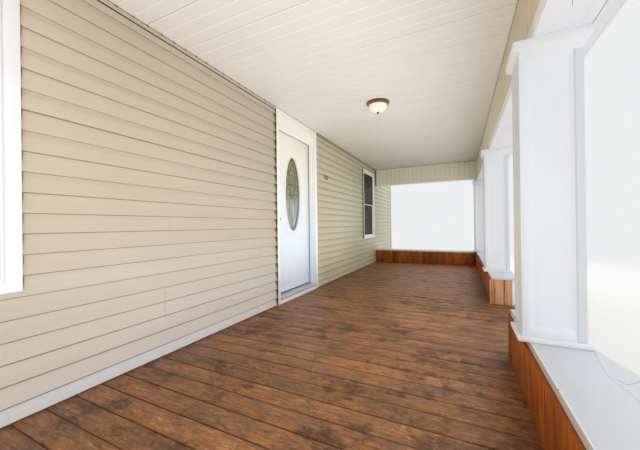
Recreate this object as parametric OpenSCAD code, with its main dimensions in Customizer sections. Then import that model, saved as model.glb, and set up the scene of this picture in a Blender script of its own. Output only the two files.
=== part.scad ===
// Front porch of a timber house: a raised deck behind low plank walls, box columns,
// a boxed beam, a ribbed ceiling and a lean-to roof, against a wall with a door and two windows.
// X runs along the porch, +Y points into the house, the ground is Z = 0.

/* [Porch] */
// Clear length between the plank faces of the two end walls
porch_l = 8120; // [6800:10:9600]
// Clear depth from the siding to the plank face of the front knee walls
porch_d = 2209; // [1800:1:2800]
// Width of the entry between the front knee walls
entry_w = 1400; // [1000:10:1800]

/* [Deck and steps] */
// Height of each riser between ground and deck
riser_h = 178; // [150:1:200]
// Depth of each tread
tread_d = 280; // [240:5:340]
// Thickness of the deck boards
deck_t = 30; // [20:1:40]
// How far the deck boards stand out past the rim
deck_nose = 15; // [5:1:40]
// Depth of the deck joists
joist_h = 140; // [120:5:160]
// Thickness of the deck joists
joist_t = 38; // [35:1:60]
// Thickness of the rim board round the deck
rim_t = 25; // [18:1:40]
// How far the rim board hangs down over the foundation
rim_drop = 40; // [20:1:60]
// Thickness of the porch foundation walls
footing_t = 200; // [150:5:250]
// Thickness of the sleeper walls under the joists
sleeper_t = 150; // [100:5:200]

/* [House wall] */
// Length of the house front
wall_l = 11800; // [10800:10:14000]
// Height of the house wall above the ground
wall_h = 3870; // [3860:10:4500]
// Thickness of the house wall
wall_t = 120; // [110:1:160]
// Height of the house foundation above the ground
house_footing_h = 330; // [200:5:340]
// Height of one siding course
course_h = 101.6; // [85:0.1:130]
// Height of the first butt edge above the deck
course_start = 85.3; // [60:0.1:101]
// Thickness of the siding at the butt edge
siding_t = 16; // [12:0.5:20]
// Thickness of the siding at the top of a course
siding_thin = 6; // [4:0.5:10]
// Width of each leg of a corner post
post_leg = 90; // [70:1:120]
// Thickness of a corner post
post_t = 20; // [18:1:30]

/* [Door] */
// Centre of the door along the porch
door_x = 205; // [-400:5:600]
// Width of the door slab
door_w = 914; // [760:1:1000]
// Height of the door slab
door_h = 2024; // [1900:1:2040]
// Thickness of the door slab
door_t = 44; // [35:1:50]
// Gap round the door slab
door_gap = 7; // [5:0.5:10]
// Height of the top of the sill above the deck
sill_up = 77; // [60:1:110]
// Thickness of the sill
sill_t = 27; // [20:1:35]
// How far the sill stands out past the casing
sill_nose = 14; // [8:1:30]
// Thickness of the door jambs
jamb_t = 32; // [25:1:40]
// Height of the header board over the door, from its casing's opening to the ceiling
header_h = 185; // [120:5:250]
// Width of the door stop
stop_w = 12; // [10:1:16]
// Depth of the door stop
stop_d = 40; // [20:1:50]
// Gap between the door slab and its stop
stop_gap = 5; // [5:0.5:8]
// Width of the door casing
door_casing_w = 60; // [45:1:100]
// Thickness of the door and window casings
casing_t = 25; // [20:1:35]
// Part of the jamb edge left bare beside the casing
reveal = 5; // [3:1:8]
// Width of the oval glass
oval_w = 365; // [250:5:450]
// Height of the oval glass
oval_h = 975; // [700:5:1200]
// Height of the centre of the oval above the deck
oval_up = 1340; // [1250:5:1400]
// Width of the moulding round the oval glass
oval_rim = 18; // [12:1:30]
// How far that moulding stands out of the slab
oval_rim_out = 6; // [4:1:12]
// Thickness of the sealed glass in the door
door_glass_t = 18; // [12:1:24]
// Height of the knob above the deck
knob_up = 1000; // [900:5:1050]
// Distance from the latch edge to the knob
backset = 60; // [55:1:75]
// Largest radius of the knob
knob_r = 25; // [22:1:32]
// How far the knob stands out of the slab
knob_out = 62; // [50:1:75]
// Height of the deadbolt above the knob
bolt_up = 140; // [100:5:200]
// Length of each hinge
hinge_l = 100; // [80:1:120]
// Radius of the hinge knuckles
knuckle_r = 6.5; // [5:0.1:8]
// Radius of the hinge pins
pin_r = 3; // [2:0.1:3.5]
// Distance of the outer hinges from the slab's ends
hinge_end = 180; // [120:5:300]

/* [Windows] */
// Centre of the far window along the porch
window_far_x = 3485; // [2200:5:3600]
// Centre of the near window along the porch
window_near_x = -2951; // [-3600:1:-1600]
// Width of the window opening in the wall
window_w = 790; // [500:5:900]
// Height of the window opening in the wall
window_h = 1447; // [900:1:1500]
// How far the window heads lie below the door head
window_drop = 0; // [0:1:150]
// Width of the side casings
window_casing_w = 60; // [45:1:90]
// Height of the head casing
window_head_h = 55; // [40:1:110]
// Height of the bottom casing
window_foot_h = 48; // [40:1:80]
// Thickness of the window frame
window_frame_t = 12; // [10:1:30]
// Distance of the window frame's front behind the casing's front
window_frame_in = 11; // [5:1:20]
// Width of the sash rails and stiles
sash_w = 14; // [12:1:50]
// Thickness of each sash
sash_t = 18; // [16:1:35]
// How far the outer sash stands out of the wall's face
sash_out = 12; // [0:1:14]
// Gap between the planes of the two sashes
sash_gap = 2; // [1:0.5:5]
// Thickness of the glass
pane_t = 4; // [3:0.5:8]
// Distance of each pane behind its sash's front
pane_in = 5; // [3:1:10]

/* [Knee walls] */
// Thickness of a knee wall with its planks
knee_t = 235; // [200:1:300]
// Height of the knee walls below their caps
knee_h = 282; // [200:1:600]
// Thickness of the plank cladding
plank_t = 18; // [12:1:25]
// Thickness of the outer board that shows beside the end planks
outer_board_t = 20; // [15:1:30]
// Thickness of the caps
cap_t = 28; // [20:1:50]
// How far the caps stand out past the entry ends of the walls
cap_over = 10; // [5:1:18]
// How far the caps stay back from the faces of the planks
cap_set = 22; // [18:1:40]
// How far the caps stand out on the yard side
cap_out = 45; // [20:1:80]

/* [Columns] */
// Size of a column along the porch
column_l = 216; // [160:1:260]
// Size of a column across the porch
column_w = 264; // [200:1:280]
// How far the columns stand in front of the planks
column_proud = 11; // [0:1:18]
// Distance from the end of a knee wall to its column
column_setback = 407; // [100:1:800]
// Thickness of the base plates
base_t = 25; // [15:1:50]
// How far the base plates stand out of the columns
base_out = 19; // [10:1:30]
// Width of the column stiles
stile_w = 37; // [25:1:60]
// Height of the bottom rail of a column
bottom_rail_h = 34; // [25:1:80]
// Height of the part of the top rail that shows below the capital
top_rail_h = 6; // [5:1:80]
// Width of the bevel round a column panel
bevel_w = 19; // [8:1:22]
// Depth of a column panel
panel_depth = 12; // [6:1:20]
// Height of a capital
capital_h = 88; // [70:1:120]
// Height of a capital on its side towards the house
capital_in_h = 56; // [45:1:70]
// Height of the upright band at the top of a capital
capital_band = 41; // [20:1:44]
// How far a capital stands out of its column
capital_out = 26; // [15:1:40]

/* [Beams and ceiling] */
// Distance from the inner face of the columns to the inner face of the beams
beam_set = 58; // [20:1:80]
// How far the beams stand out past the columns on the yard side
beam_out = 24; // [0:1:40]
// Height of the beams above their bottom boards
beam_h = 400; // [250:5:450]
// Thickness of the bottom boards
bottom_board_t = 50; // [30:1:60]
// Thickness of the ribbed facing and ceiling panels
panel_t = 12; // [8:1:16]
// Open joint between the facing of the end beams and the siding
facing_gap = 18; // [0:1:30]
// Distance between the ribs of the ceiling and facing
rib_pitch = 101.6; // [80:0.1:160]
// Shift of the ceiling's ribs along the porch
rib_shift = -20; // [-30:1:30]
// Width of a groove between two ribs
groove_w = 8; // [6:1:20]
// Depth of those grooves
groove_d = 2.5; // [2:0.5:7]
// Distance of the lamp from the wall
lamp_off_wall = 1105; // [800:5:1400]
// Centre of the lamp along the porch
lamp_x = 130; // [-500:5:500]
// Radius of the lamp's ring at the ceiling
lamp_r = 127; // [115:1:180]
// Height of the lamp's ring
lamp_ring_h = 32; // [20:1:60]
// Height of the upright rim of that ring
lamp_rim_h = 9; // [4:1:15]
// Radius of the lamp's bowl
lamp_bowl_r = 103; // [80:1:108]
// Depth of the lamp's bowl
lamp_bowl_h = 74; // [50:1:100]
// Thickness of the lamp's glass
lamp_glass_t = 5; // [3:0.5:8]
// Length of the finial below the bowl
finial_h = 24; // [8:1:30]
// Radius of the finial
finial_r = 15; // [6:0.5:18]
// Radius of the rod that carries the finial
lamp_rod_r = 4; // [3:0.5:5]

/* [Roof] */
// Rise of the roof for each unit of run
slope = 0.25; // [0.2:0.01:0.26]
// Depth of the rafters measured upright
rafter_h = 144; // [120:1:150]
// Thickness of the rafters
rafter_t = 38; // [35:1:60]
// Largest distance between rafters
rafter_pitch = 600; // [400:10:800]
// Length of the rafters' seat on the beam
seat_l = 90; // [60:1:120]
// How far the eave stands out past the beam
eave_out = 296; // [200:1:400]
// Depth of the eave below the rafters' tails
eave_drop = 44; // [20:1:80]
// Thickness of the eave and rake boards
eave_board_t = 20; // [15:1:30]
// Thickness of the eave's soffit panel
soffit_t = 10; // [6:1:20]
// Thickness of the gable walls above the end beams
gable_t = 100; // [60:1:130]
// Depth of the rake boards
rake_h = 185; // [150:1:260]
// Thickness of the roof covering measured upright
roof_t = 28; // [20:1:50]
// How far the roof covering stands out past the eave and rake boards
drip = 28; // [10:1:60]

/* [Hidden] */

// Small gap between pieces that only touch
seat = 0.3;
// How far a cut runs on past the faces it goes through
cut = 1;
riser_count = 3;
deck_h = riser_count * riser_h;
steps_out = (riser_count - 1) * tread_d;

// Distances out from the wall's face
plank_d = siding_t + porch_d;
knee_core_d = plank_d + plank_t;
knee_out_d = plank_d + knee_t;
deck_edge_d = knee_out_d + deck_nose;
column_d = plank_d - column_proud;
facing_d = column_d + beam_set;
beam_d = facing_d + panel_t;
beam_out_d = column_d + column_w + beam_out;
eave_d = beam_out_d + eave_out;
steps_front_d = deck_edge_d + steps_out;
yard_d = max(steps_front_d, eave_d + drip);

// The part is centred between the yard side and the knob behind the door
back_out = wall_t + knob_out;
wall_y = (yard_d + back_out) / 2 - back_out;

// Distances out from the middle of the porch
plank_x = porch_l / 2;
knee_out_x = plank_x + knee_t;
column_x = plank_x - column_proud;
facing_x = column_x + beam_set;
beam_x = facing_x + panel_t;
beam_out_x = column_x + column_l + beam_out;
entry_x = entry_w / 2;
entry_column_x = entry_x + column_setback + column_l / 2;
corner_column_x = column_x + column_l / 2;
column_xs = [-corner_column_x, -entry_column_x, entry_column_x, corner_column_x];

// Heights above the ground
joist_z = deck_h - deck_t - joist_h;
cap_z = deck_h + knee_h;
base_z = cap_z + cap_t;
shaft_z = base_z + base_t;
sill_z = deck_h + sill_up;
door_z = sill_z + door_gap;
door_top_z = door_z + door_h;
head_z = door_top_z + door_gap;
opening_top_z = head_z + jamb_t;
ceiling_z = head_z + reveal + header_h;
beam_z = ceiling_z - beam_h;
bottom_board_z = beam_z - bottom_board_t;
capital_z = bottom_board_z - capital_h;
window_top_z = head_z - window_drop;
window_z = window_top_z - window_h;

// Siding: its ends behind the corner posts and its lowest course above the deck
siding_bottom_gap = 6;
siding_end_x = wall_l / 2 + post_t - post_leg;

// Door places
jamb_x = door_w / 2 + door_gap;
opening_x = jamb_x + jamb_t;
door_casing_in = jamb_x + reveal;
door_casing_out = door_casing_in + door_casing_w;
door_face_d = door_t - wall_t;
hinge_x = door_x + door_w / 2 + door_gap / 2;
hinge_d = -wall_t - knuckle_r;
leaf_gap = 1;
leaf_t = (door_gap - leaf_gap) / 3;
leaf_w = door_t - 6;
knuckle_l = hinge_l / 3;
knuckle_gap = 0.3;
pin_clearance = 0.1;
hinge_zs = [door_z + hinge_end, door_z + (door_h - hinge_l) / 2, door_top_z - hinge_end - hinge_l];
window_xs = [window_near_x, window_far_x];

// Roof line: height of the rafters' underside at a distance from the wall
function rafter_z(d) = ceiling_z - seat_l * slope + (beam_out_d - d) * slope;
tail_d = eave_d - eave_board_t;
eave_z = rafter_z(tail_d) - eave_drop;

white = "white";
stained = "peru";

// A box between two places along the porch, two distances from the wall and two heights
module block(x0, x1, d0, d1, z0, z1) {
    translate([x0, wall_y - d1, z0]) cube([x1 - x0, d1 - d0, z1 - z0]);
}

// The same box on both sides of the porch's middle
module block_pair(x0, x1, d0, d1, z0, z1) {
    block(x0, x1, d0, d1, z0, z1);
    block(-x1, -x0, d0, d1, z0, z1);
}

// An outline of distance and height, carried along the porch
module run(x0, x1) {
    translate([x0, wall_y, 0]) rotate([90, 0, 90]) mirror([1, 0, 0])
        linear_extrude(x1 - x0) children();
}

// A frame round an opening: a block centred on x, less the hole through it
module surround(x, half_out, half_in, d0, d1, z0, z1, hole_z0, hole_z1) {
    difference() {
        block(x - half_out, x + half_out, d0, d1, z0, z1);
        block(x - half_in, x + half_in, d0 - cut, d1 + cut, hole_z0, hole_z1);
    }
}

// House wall
module window_holes() {
    for (x = window_xs)
        block(x - window_w / 2, x + window_w / 2, -wall_t - cut, cut, window_z, window_top_z);
}

module house_foundation() {
    color("darkgray") block(-wall_l / 2, wall_l / 2, -wall_t, 0, 0, house_footing_h);
}

module wall_near() {
    color("tan") difference() {
        block(-wall_l / 2, door_x - opening_x, -wall_t, 0, house_footing_h, wall_h);
        window_holes();
    }
}

module wall_far() {
    color("tan") difference() {
        block(door_x + opening_x, wall_l / 2, -wall_t, 0, house_footing_h, wall_h);
        window_holes();
    }
}

module wall_over_door() {
    color("tan") block(door_x - opening_x, door_x + opening_x, -wall_t, 0, opening_top_z, wall_h);
}

// Lapped courses: each runs from a thick butt edge up to a thin top behind the next
course_z = deck_h + course_start;
course_first = floor((house_footing_h - course_z) / course_h);
course_last = ceil((wall_h - course_z) / course_h) - 1;
siding_points = concat(
    [[0, course_z + (course_last + 1) * course_h], [0, course_z + course_first * course_h]],
    [for (i = [course_first:course_last], top = [0, 1])
        [top == 0 ? siding_t : siding_thin, course_z + (i + top) * course_h]]
);

module siding_run(x0, x1, z0, z1) {
    run(x0, x1) intersection() {
        polygon(siding_points);
        translate([-cut, z0]) square([siding_t + 2 * cut, z1 - z0]);
    }
}

// Room that the deck, the casings and the header over the door take out of the siding
module siding_holes() {
    deck_x = knee_out_x + deck_nose + 2;
    block(-deck_x, deck_x, -cut, siding_t + cut, 0, deck_h + siding_bottom_gap);
    for (x = window_xs)
        block(x - window_w / 2 - window_casing_w - seat, x + window_w / 2 + window_casing_w + seat,
              -cut, siding_t + cut, window_z - window_foot_h - seat, window_top_z + window_head_h + seat);
    block(door_x - door_casing_out - seat, door_x + door_casing_out + seat,
          -cut, siding_t + cut, 0, ceiling_z + seat);
}

module siding_near() {
    color("tan") difference() {
        siding_run(-siding_end_x + seat, door_x, house_footing_h, wall_h);
        siding_holes();
    }
}

module siding_far() {
    color("tan") difference() {
        siding_run(door_x + seat, siding_end_x - seat, house_footing_h, wall_h);
        siding_holes();
    }
}

module corner_posts() {
    post_out_x = wall_l / 2 + post_t;
    color("tan") for (side = [-1, 1]) mirror([side < 0 ? 1 : 0, 0, 0]) {
        block(post_out_x - post_leg, post_out_x, 0, post_t, house_footing_h, wall_h);
        block(wall_l / 2, post_out_x, post_t - post_leg, 0, house_footing_h, wall_h);
    }
}

// Door surround
module door_casing() {
    color(white) surround(door_x, door_casing_out, door_casing_in, 0, casing_t,
                          deck_h, ceiling_z, 0, head_z + reveal);
}

module door_jamb() {
    stop_back_d = door_face_d + stop_gap;
    color(white) {
        surround(door_x, opening_x, jamb_x, -wall_t, 0, sill_z, opening_top_z, 0, head_z);
        surround(door_x, jamb_x, jamb_x - stop_w, stop_back_d, stop_back_d + stop_d,
                 sill_z, head_z, 0, head_z - stop_w);
    }
}

module door_riser() {
    color(white) {
        block(door_x - opening_x, door_x + opening_x, -wall_t, 0, house_footing_h, sill_z - sill_t);
        block(door_x - door_casing_in, door_x + door_casing_in, 0, casing_t, deck_h, sill_z - sill_t);
    }
}

module door_sill() {
    color("gray") {
        block(door_x - opening_x, door_x + opening_x, -wall_t, 0, sill_z - sill_t, sill_z);
        block(door_x - door_casing_in, door_x + door_casing_in, 0, casing_t + sill_nose,
              sill_z - sill_t, sill_z);
    }
}

// Door
module oval(w, h) {
    steps = 48;
    polygon([for (i = [0:steps - 1]) [w / 2 * cos(360 * i / steps), h / 2 * sin(360 * i / steps)]]);
}

module oval_block(w, h, d0, d1) {
    translate([door_x, wall_y - d0, deck_h + oval_up]) rotate([90, 0, 0])
        linear_extrude(d1 - d0) oval(w, h);
}

module door_slab() {
    color(white) difference() {
        block(door_x - door_w / 2, door_x + door_w / 2, -wall_t, door_face_d, door_z, door_top_z);
        oval_block(oval_w, oval_h, -wall_t - cut, door_face_d + cut);
    }
}

module door_oval_frame() {
    color(white) for (face = [[-wall_t - oval_rim_out, -wall_t], [door_face_d, door_face_d + oval_rim_out]])
        difference() {
            oval_block(oval_w + 2 * oval_rim, oval_h + 2 * oval_rim, face[0], face[1]);
            oval_block(oval_w, oval_h, face[0] - cut, face[1] + cut);
        }
}

module door_glass() {
    middle_d = (door_face_d - wall_t) / 2;
    color("lightsteelblue")
        oval_block(oval_w, oval_h, middle_d - door_glass_t / 2, middle_d + door_glass_t / 2);
}

// A turned rose with a bevelled rim
rose_h = 8;
rose_bevel = 3;
function rose(r) = [[0, 0], [r, 0], [r, rose_h - rose_bevel], [r - rose_bevel, rose_h]];

// One turned handle, standing out from the plane of its rose
module knob() {
    neck_r = knob_r * 0.42;
    neck_h = 14;
    ball_h = knob_out - rose_h - neck_h;
    rotate_extrude($fn = 40) polygon(concat(
        rose(knob_r + rose_bevel),
        [[neck_r, rose_h], [neck_r, rose_h + neck_h]],
        [for (a = [-60:20:80])
            [knob_r * cos(a), knob_out - ball_h / 2 + ball_h / 2 * sin(a)]],
        [[0, knob_out]]
    ));
}

module deadbolt() {
    rotate_extrude($fn = 40) polygon(concat(rose(knob_r), [[0, rose_h]]));
}

module door_lockset() {
    knob_x = door_x - door_w / 2 + backset;
    color("silver") for (side = [[wall_y - door_face_d, 90], [wall_y + wall_t, -90]]) {
        translate([knob_x, side[0], deck_h + knob_up]) rotate([side[1], 0, 0]) knob();
        translate([knob_x, side[0], deck_h + knob_up + bolt_up]) rotate([side[1], 0, 0]) deadbolt();
    }
}

// Hinges: the jamb carries the outer knuckles and the pin, the door the middle knuckle
module knuckle_place(z) {
    translate([hinge_x, wall_y - hinge_d, z]) children();
}

module jamb_hinges() {
    color("silver") for (z = hinge_zs) {
        difference() {
            union() {
                block(door_x + jamb_x - leaf_t, door_x + jamb_x, hinge_d, -wall_t + leaf_w, z, z + hinge_l);
                knuckle_place(z) cylinder(h = hinge_l, r = knuckle_r, $fn = 32);
            }
            knuckle_place(z + knuckle_l - knuckle_gap)
                cylinder(h = knuckle_l + 2 * knuckle_gap, r = knuckle_r + 2 * knuckle_gap, $fn = 32);
        }
        knuckle_place(z + knuckle_l / 2) cylinder(h = 2 * knuckle_l, r = pin_r, $fn = 32);
    }
}

module door_hinges() {
    color("silver") for (z = hinge_zs) difference() {
        union() {
            block(door_x + door_w / 2, door_x + door_w / 2 + leaf_t, hinge_d, -wall_t + leaf_w,
                  z, z + hinge_l);
            knuckle_place(z + knuckle_l) cylinder(h = knuckle_l, r = knuckle_r, $fn = 32);
        }
        for (end_z = [z - cut, z + 2 * knuckle_l]) knuckle_place(end_z)
            cylinder(h = knuckle_l + cut, r = knuckle_r + 2 * knuckle_gap, $fn = 32);
        knuckle_place(z - cut) cylinder(h = hinge_l + 2 * cut, r = pin_r + pin_clearance, $fn = 32);
    }
}

// Windows
module window_casings() {
    color(white) for (x = window_xs)
        surround(x, window_w / 2 + window_casing_w, window_w / 2, 0, casing_t,
                 window_z - window_foot_h, window_top_z + window_head_h, window_z, window_top_z);
}

module window_frames() {
    color(white) for (x = window_xs)
        surround(x, window_w / 2, sash_half_w, -wall_t, casing_t - window_frame_in,
                 window_z, window_top_z, sash_bottom_z, sash_top_z);
}

sash_half_w = window_w / 2 - window_frame_t;
sash_bottom_z = window_z + window_frame_t;
sash_top_z = window_top_z - window_frame_t;
sash_mid_z = (sash_bottom_z + sash_top_z) / 2;

// Each sash as its bottom, its top and the distance of its front face from the wall
sashes = [
    [sash_bottom_z, sash_mid_z + sash_w, sash_out - sash_t - sash_gap],
    [sash_mid_z - sash_w, sash_top_z, sash_out]
];

module window_sashes() {
    color(white) for (x = window_xs, sash = sashes)
        surround(x, sash_half_w, sash_half_w - sash_w, sash[2] - sash_t, sash[2],
                 sash[0], sash[1], sash[0] + sash_w, sash[1] - sash_w);
}

module window_panes() {
    pane_half_w = sash_half_w - sash_w;
    color("slategray") for (x = window_xs, sash = sashes)
        block(x - pane_half_w, x + pane_half_w,
              sash[2] - pane_in - pane_t, sash[2] - pane_in,
              sash[0] + sash_w, sash[1] - sash_w);
}

// Foundations, deck and steps
footing_out_d = knee_out_d - rim_t;
footing_in_d = footing_out_d - footing_t;
rim_in_x = knee_out_x - rim_t;

module foundation_front() {
    color("darkgray") block(-rim_in_x, rim_in_x, footing_in_d, footing_out_d, 0, joist_z);
}

module foundation_cross() {
    sleeper_x = (rim_in_x - footing_t / 2) / 2;
    color("darkgray") {
        block_pair(rim_in_x - footing_t, rim_in_x, seat, footing_in_d, 0, joist_z);
        for (x = [-sleeper_x, 0, sleeper_x])
            block(x - sleeper_t / 2, x + sleeper_t / 2, seat, footing_in_d, 0, joist_z);
    }
}

module deck_joists() {
    joist_count = 5;
    step_d = (footing_out_d - joist_t - seat) / (joist_count - 1);
    color("burlywood") for (i = [0:joist_count - 1])
        block(-rim_in_x, rim_in_x, seat + i * step_d, seat + i * step_d + joist_t,
              joist_z, deck_h - deck_t);
}

module deck_rim() {
    rim_z = joist_z - rim_drop;
    color(stained) {
        block(-knee_out_x, knee_out_x, footing_out_d, knee_out_d, rim_z, deck_h - deck_t);
        block_pair(rim_in_x, knee_out_x, siding_t + seat, footing_out_d, rim_z, deck_h - deck_t);
    }
}

module deck_floor() {
    color("saddlebrown")
        block(-knee_out_x - deck_nose, knee_out_x + deck_nose, seat, deck_edge_d,
              deck_h - deck_t, deck_h);
}

module front_steps() {
    color("lightgray") run(-entry_x, entry_x) polygon(concat(
        [[knee_out_d + seat, 0], [knee_out_d + seat, deck_h - riser_h],
         [deck_edge_d + tread_d, deck_h - riser_h]],
        [for (i = [2:riser_count - 1], edge = [0, 1])
            [deck_edge_d + (i - 1 + edge) * tread_d, deck_h - i * riser_h]],
        [[steps_front_d, 0]]
    ));
}

// Knee walls
// The front walls' outer board runs on past the core to lie beside the end planks
module knee_walls_front() {
    color(white) for (side = [-1, 1]) mirror([side < 0 ? 1 : 0, 0, 0]) {
        block(entry_x + plank_t, knee_out_x, knee_core_d, knee_out_d, deck_h, cap_z);
        block(entry_x, entry_x + plank_t, knee_out_d - outer_board_t, knee_out_d, deck_h, cap_z);
    }
}

module knee_walls_end() {
    color(white) block_pair(plank_x + plank_t, knee_out_x, siding_t + seat, knee_core_d, deck_h, cap_z);
}

module knee_planks() {
    color(stained) for (side = [-1, 1]) mirror([side < 0 ? 1 : 0, 0, 0]) {
        block(entry_x, plank_x + plank_t, plank_d, knee_core_d, deck_h, cap_z);
        block(entry_x, entry_x + plank_t, knee_core_d, knee_out_d - outer_board_t, deck_h, cap_z);
        block(plank_x, plank_x + plank_t, siding_t + seat, plank_d, deck_h, cap_z);
    }
}

cap_in_d = plank_d + cap_set;

module knee_caps_front() {
    color(white) block_pair(entry_x - cap_over, knee_out_x + cap_out, cap_in_d, knee_out_d + cap_out,
                            cap_z, base_z);
}

module knee_caps_end() {
    color(white) block_pair(plank_x + cap_set, knee_out_x + cap_out, siding_t + seat, cap_in_d,
                            cap_z, base_z);
}

// Columns
column_mid_y = wall_y - column_d - column_w / 2;

module at_columns() {
    for (x = column_xs) translate([x, column_mid_y, 0]) children();
}

// A block centred on a column
module column_block(l, w, z0, z1) {
    translate([-l / 2, -w / 2, z0]) cube([l, w, z1 - z0]);
}

// The sunk panel of one face: the mitred wedge between two trapezoid runs
module panel_pit(face_w, z0, z1) {
    half = face_w / 2 - stile_w;
    inner = half - bevel_w;
    floor_y = -panel_depth;
    intersection() {
        translate([0, 0, z0]) linear_extrude(z1 - z0) polygon([
            [-half, cut], [-half, 0], [-inner, floor_y], [inner, floor_y], [half, 0], [half, cut]
        ]);
        rotate([90, 0, 90]) linear_extrude(face_w, center = true) polygon([
            [cut, z0], [0, z0], [floor_y, z0 + bevel_w], [floor_y, z1 - bevel_w], [0, z1], [cut, z1]
        ]);
    }
}

module columns() {
    pit_z0 = shaft_z + bottom_rail_h;
    pit_z1 = capital_z - top_rail_h;
    color(white) at_columns() difference() {
        column_block(column_l, column_w, shaft_z, bottom_board_z);
        for (turn = [0, 180]) {
            rotate([0, 0, turn]) translate([0, column_w / 2, 0]) panel_pit(column_l, pit_z0, pit_z1);
            rotate([0, 0, turn + 90]) translate([0, column_l / 2, 0]) panel_pit(column_w, pit_z0, pit_z1);
        }
    }
}

module column_bases() {
    color(white) at_columns()
        column_block(column_l + 2 * base_out, column_w + 2 * base_out, base_z, shaft_z);
}

// Outline of a capital's foot: a splay of a given height with a slight double curve
capital_bend = 0.06;
capital_foot = capital_h - capital_band;
function capital_curve(x, rise) = [for (i = [0:8])
    [x + capital_out * (i / 8 - capital_bend * sin(360 * i / 8)), capital_foot - rise + rise * i / 8]];

// A length of capital whose two sides have feet of given heights
module capital_run(half_in, length, rises) {
    rotate([90, 0, 90]) linear_extrude(length, center = true) for (side = [0, 1]) mirror([side, 0])
        polygon(concat(
            [[0, 0], [half_in, 0]],
            capital_curve(half_in, rises[side]),
            [[half_in + capital_out, capital_h], [0, capital_h]]
        ));
}

module column_capitals() {
    reach = column_l + column_w;
    color(white) at_columns() difference() {
        translate([0, 0, capital_z]) intersection() {
            capital_run(column_w / 2, reach, [capital_in_h - capital_band, capital_foot]);
            rotate([0, 0, 90]) capital_run(column_l / 2, reach, [capital_foot, capital_foot]);
        }
        column_block(column_l, column_w, capital_z - cut, bottom_board_z + cut);
    }
}

// Beams
// The front beam's bottom board widens over the corner columns
module beam_bottom_boards() {
    color(white) {
        block(-beam_out_x, beam_out_x, facing_d, beam_out_d, bottom_board_z, beam_z);
        block_pair(facing_x, beam_out_x, column_d, facing_d, bottom_board_z, beam_z);
    }
}

module front_beam() {
    color(white) block(-beam_out_x, beam_out_x, beam_d, beam_out_d, beam_z, ceiling_z);
}

module end_beams() {
    color(white) block_pair(beam_x, beam_out_x, siding_t + seat, beam_d, beam_z, ceiling_z);
}

// Outline of a ribbed panel: a strip with a groove at each rib line
module ribbed_strip(length, shift = 0) {
    count = floor(length / 2 / rib_pitch);
    difference() {
        translate([-length / 2, 0]) square([length, panel_t]);
        for (i = [-count:count]) translate([i * rib_pitch + shift, 0])
            polygon([[-groove_w / 2, -cut], [-groove_w / 2, 0], [-groove_w / 4, groove_d],
                     [groove_w / 4, groove_d], [groove_w / 2, 0], [groove_w / 2, -cut]]);
    }
}

module beam_facing() {
    side_d = siding_t + seat + facing_gap;
    side_l = facing_d - side_d;
    color("tan") {
        translate([0, wall_y - facing_d, beam_z]) mirror([0, 1, 0])
            linear_extrude(beam_h) ribbed_strip(2 * beam_x);
        for (side = [-1, 1]) mirror([side < 0 ? 1 : 0, 0, 0])
            translate([facing_x, wall_y - side_d - side_l / 2, beam_z])
                rotate([0, 0, 90]) mirror([0, 1, 0]) linear_extrude(beam_h) ribbed_strip(side_l);
    }
}

module ceiling() {
    color("ivory") translate([0, wall_y - siding_t - seat, ceiling_z]) rotate([90, 0, 0])
        linear_extrude(beam_d - siding_t - seat) ribbed_strip(2 * beam_x, rib_shift);
}

// Ceiling lamp
module at_lamp() {
    translate([lamp_x, wall_y - lamp_off_wall, ceiling_z]) mirror([0, 0, 1]) children();
}

// The ring: an upright rim, a hollow curve in to the lip that takes the bowl,
// and below it the rod with the finial that holds the bowl up
module lamp_ring() {
    lip_r = lamp_bowl_r + lamp_glass_t;
    hollow_h = lamp_ring_h - lamp_rim_h;
    washer_h = 2;
    finial_z = lamp_ring_h + lamp_bowl_h + seat;
    color("saddlebrown") at_lamp() rotate_extrude($fn = 64) polygon(concat(
        [[0, 0], [lamp_r, 0], [lamp_r, lamp_rim_h]],
        [for (a = [15:15:90])
            [lip_r + (lamp_r - lip_r) * (1 - sin(a)), lamp_ring_h - hollow_h * cos(a)]],
        [[lamp_rod_r, lamp_ring_h], [lamp_rod_r, finial_z], [finial_r, finial_z],
         [finial_r, finial_z + washer_h]],
        [for (a = [0:20:80])
            [finial_r * 0.7 * cos(a), finial_z + washer_h + (finial_h - washer_h) * sin(a)]],
        [[0, finial_z + finial_h]]
    ));
}

// The bowl is round at its top and drawn down to a blunt point at the finial
module lamp_bowl() {
    hole_r = lamp_rod_r + seat;
    steps = 12;
    function side(r, h, i) = [hole_r + (r - hole_r) * cos(90 * i / steps), h * sin(90 * i / steps)];
    color("mintcream") at_lamp() translate([0, 0, lamp_ring_h + seat]) rotate_extrude($fn = 64)
        polygon(concat(
            [for (i = [0:steps]) side(lamp_bowl_r, lamp_bowl_h - seat, i)],
            [for (i = [steps:-1:0]) side(lamp_bowl_r - lamp_glass_t, lamp_bowl_h - seat - lamp_glass_t, i)]
        ));
}

// Roof
// Underside of a rafter from its tail past the seat on the beam to the wall
roof_wall_d = siding_t + seat;
rafter_under = [
    [tail_d, rafter_z(tail_d)], [beam_out_d, rafter_z(beam_out_d)],
    [beam_out_d, ceiling_z], [beam_out_d - seat_l, ceiling_z]
];
rafter_top = [[roof_wall_d, rafter_z(roof_wall_d) + rafter_h], [tail_d, rafter_z(tail_d) + rafter_h]];

module rafters() {
    clear_x = beam_out_x - gable_t;
    bays = ceil(2 * clear_x / rafter_pitch);
    color("burlywood") for (i = [1:bays - 1]) {
        x = -clear_x + 2 * clear_x * i / bays;
        run(x - rafter_t / 2, x + rafter_t / 2)
            polygon(concat(rafter_under, [[roof_wall_d, rafter_z(roof_wall_d)]], rafter_top));
    }
}

module roof_gables() {
    color(white) for (side = [-1, 1]) mirror([side < 0 ? 1 : 0, 0, 0])
        run(beam_out_x - gable_t, beam_out_x)
            polygon(concat(rafter_under, [[roof_wall_d, ceiling_z]], rafter_top));
}

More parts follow.
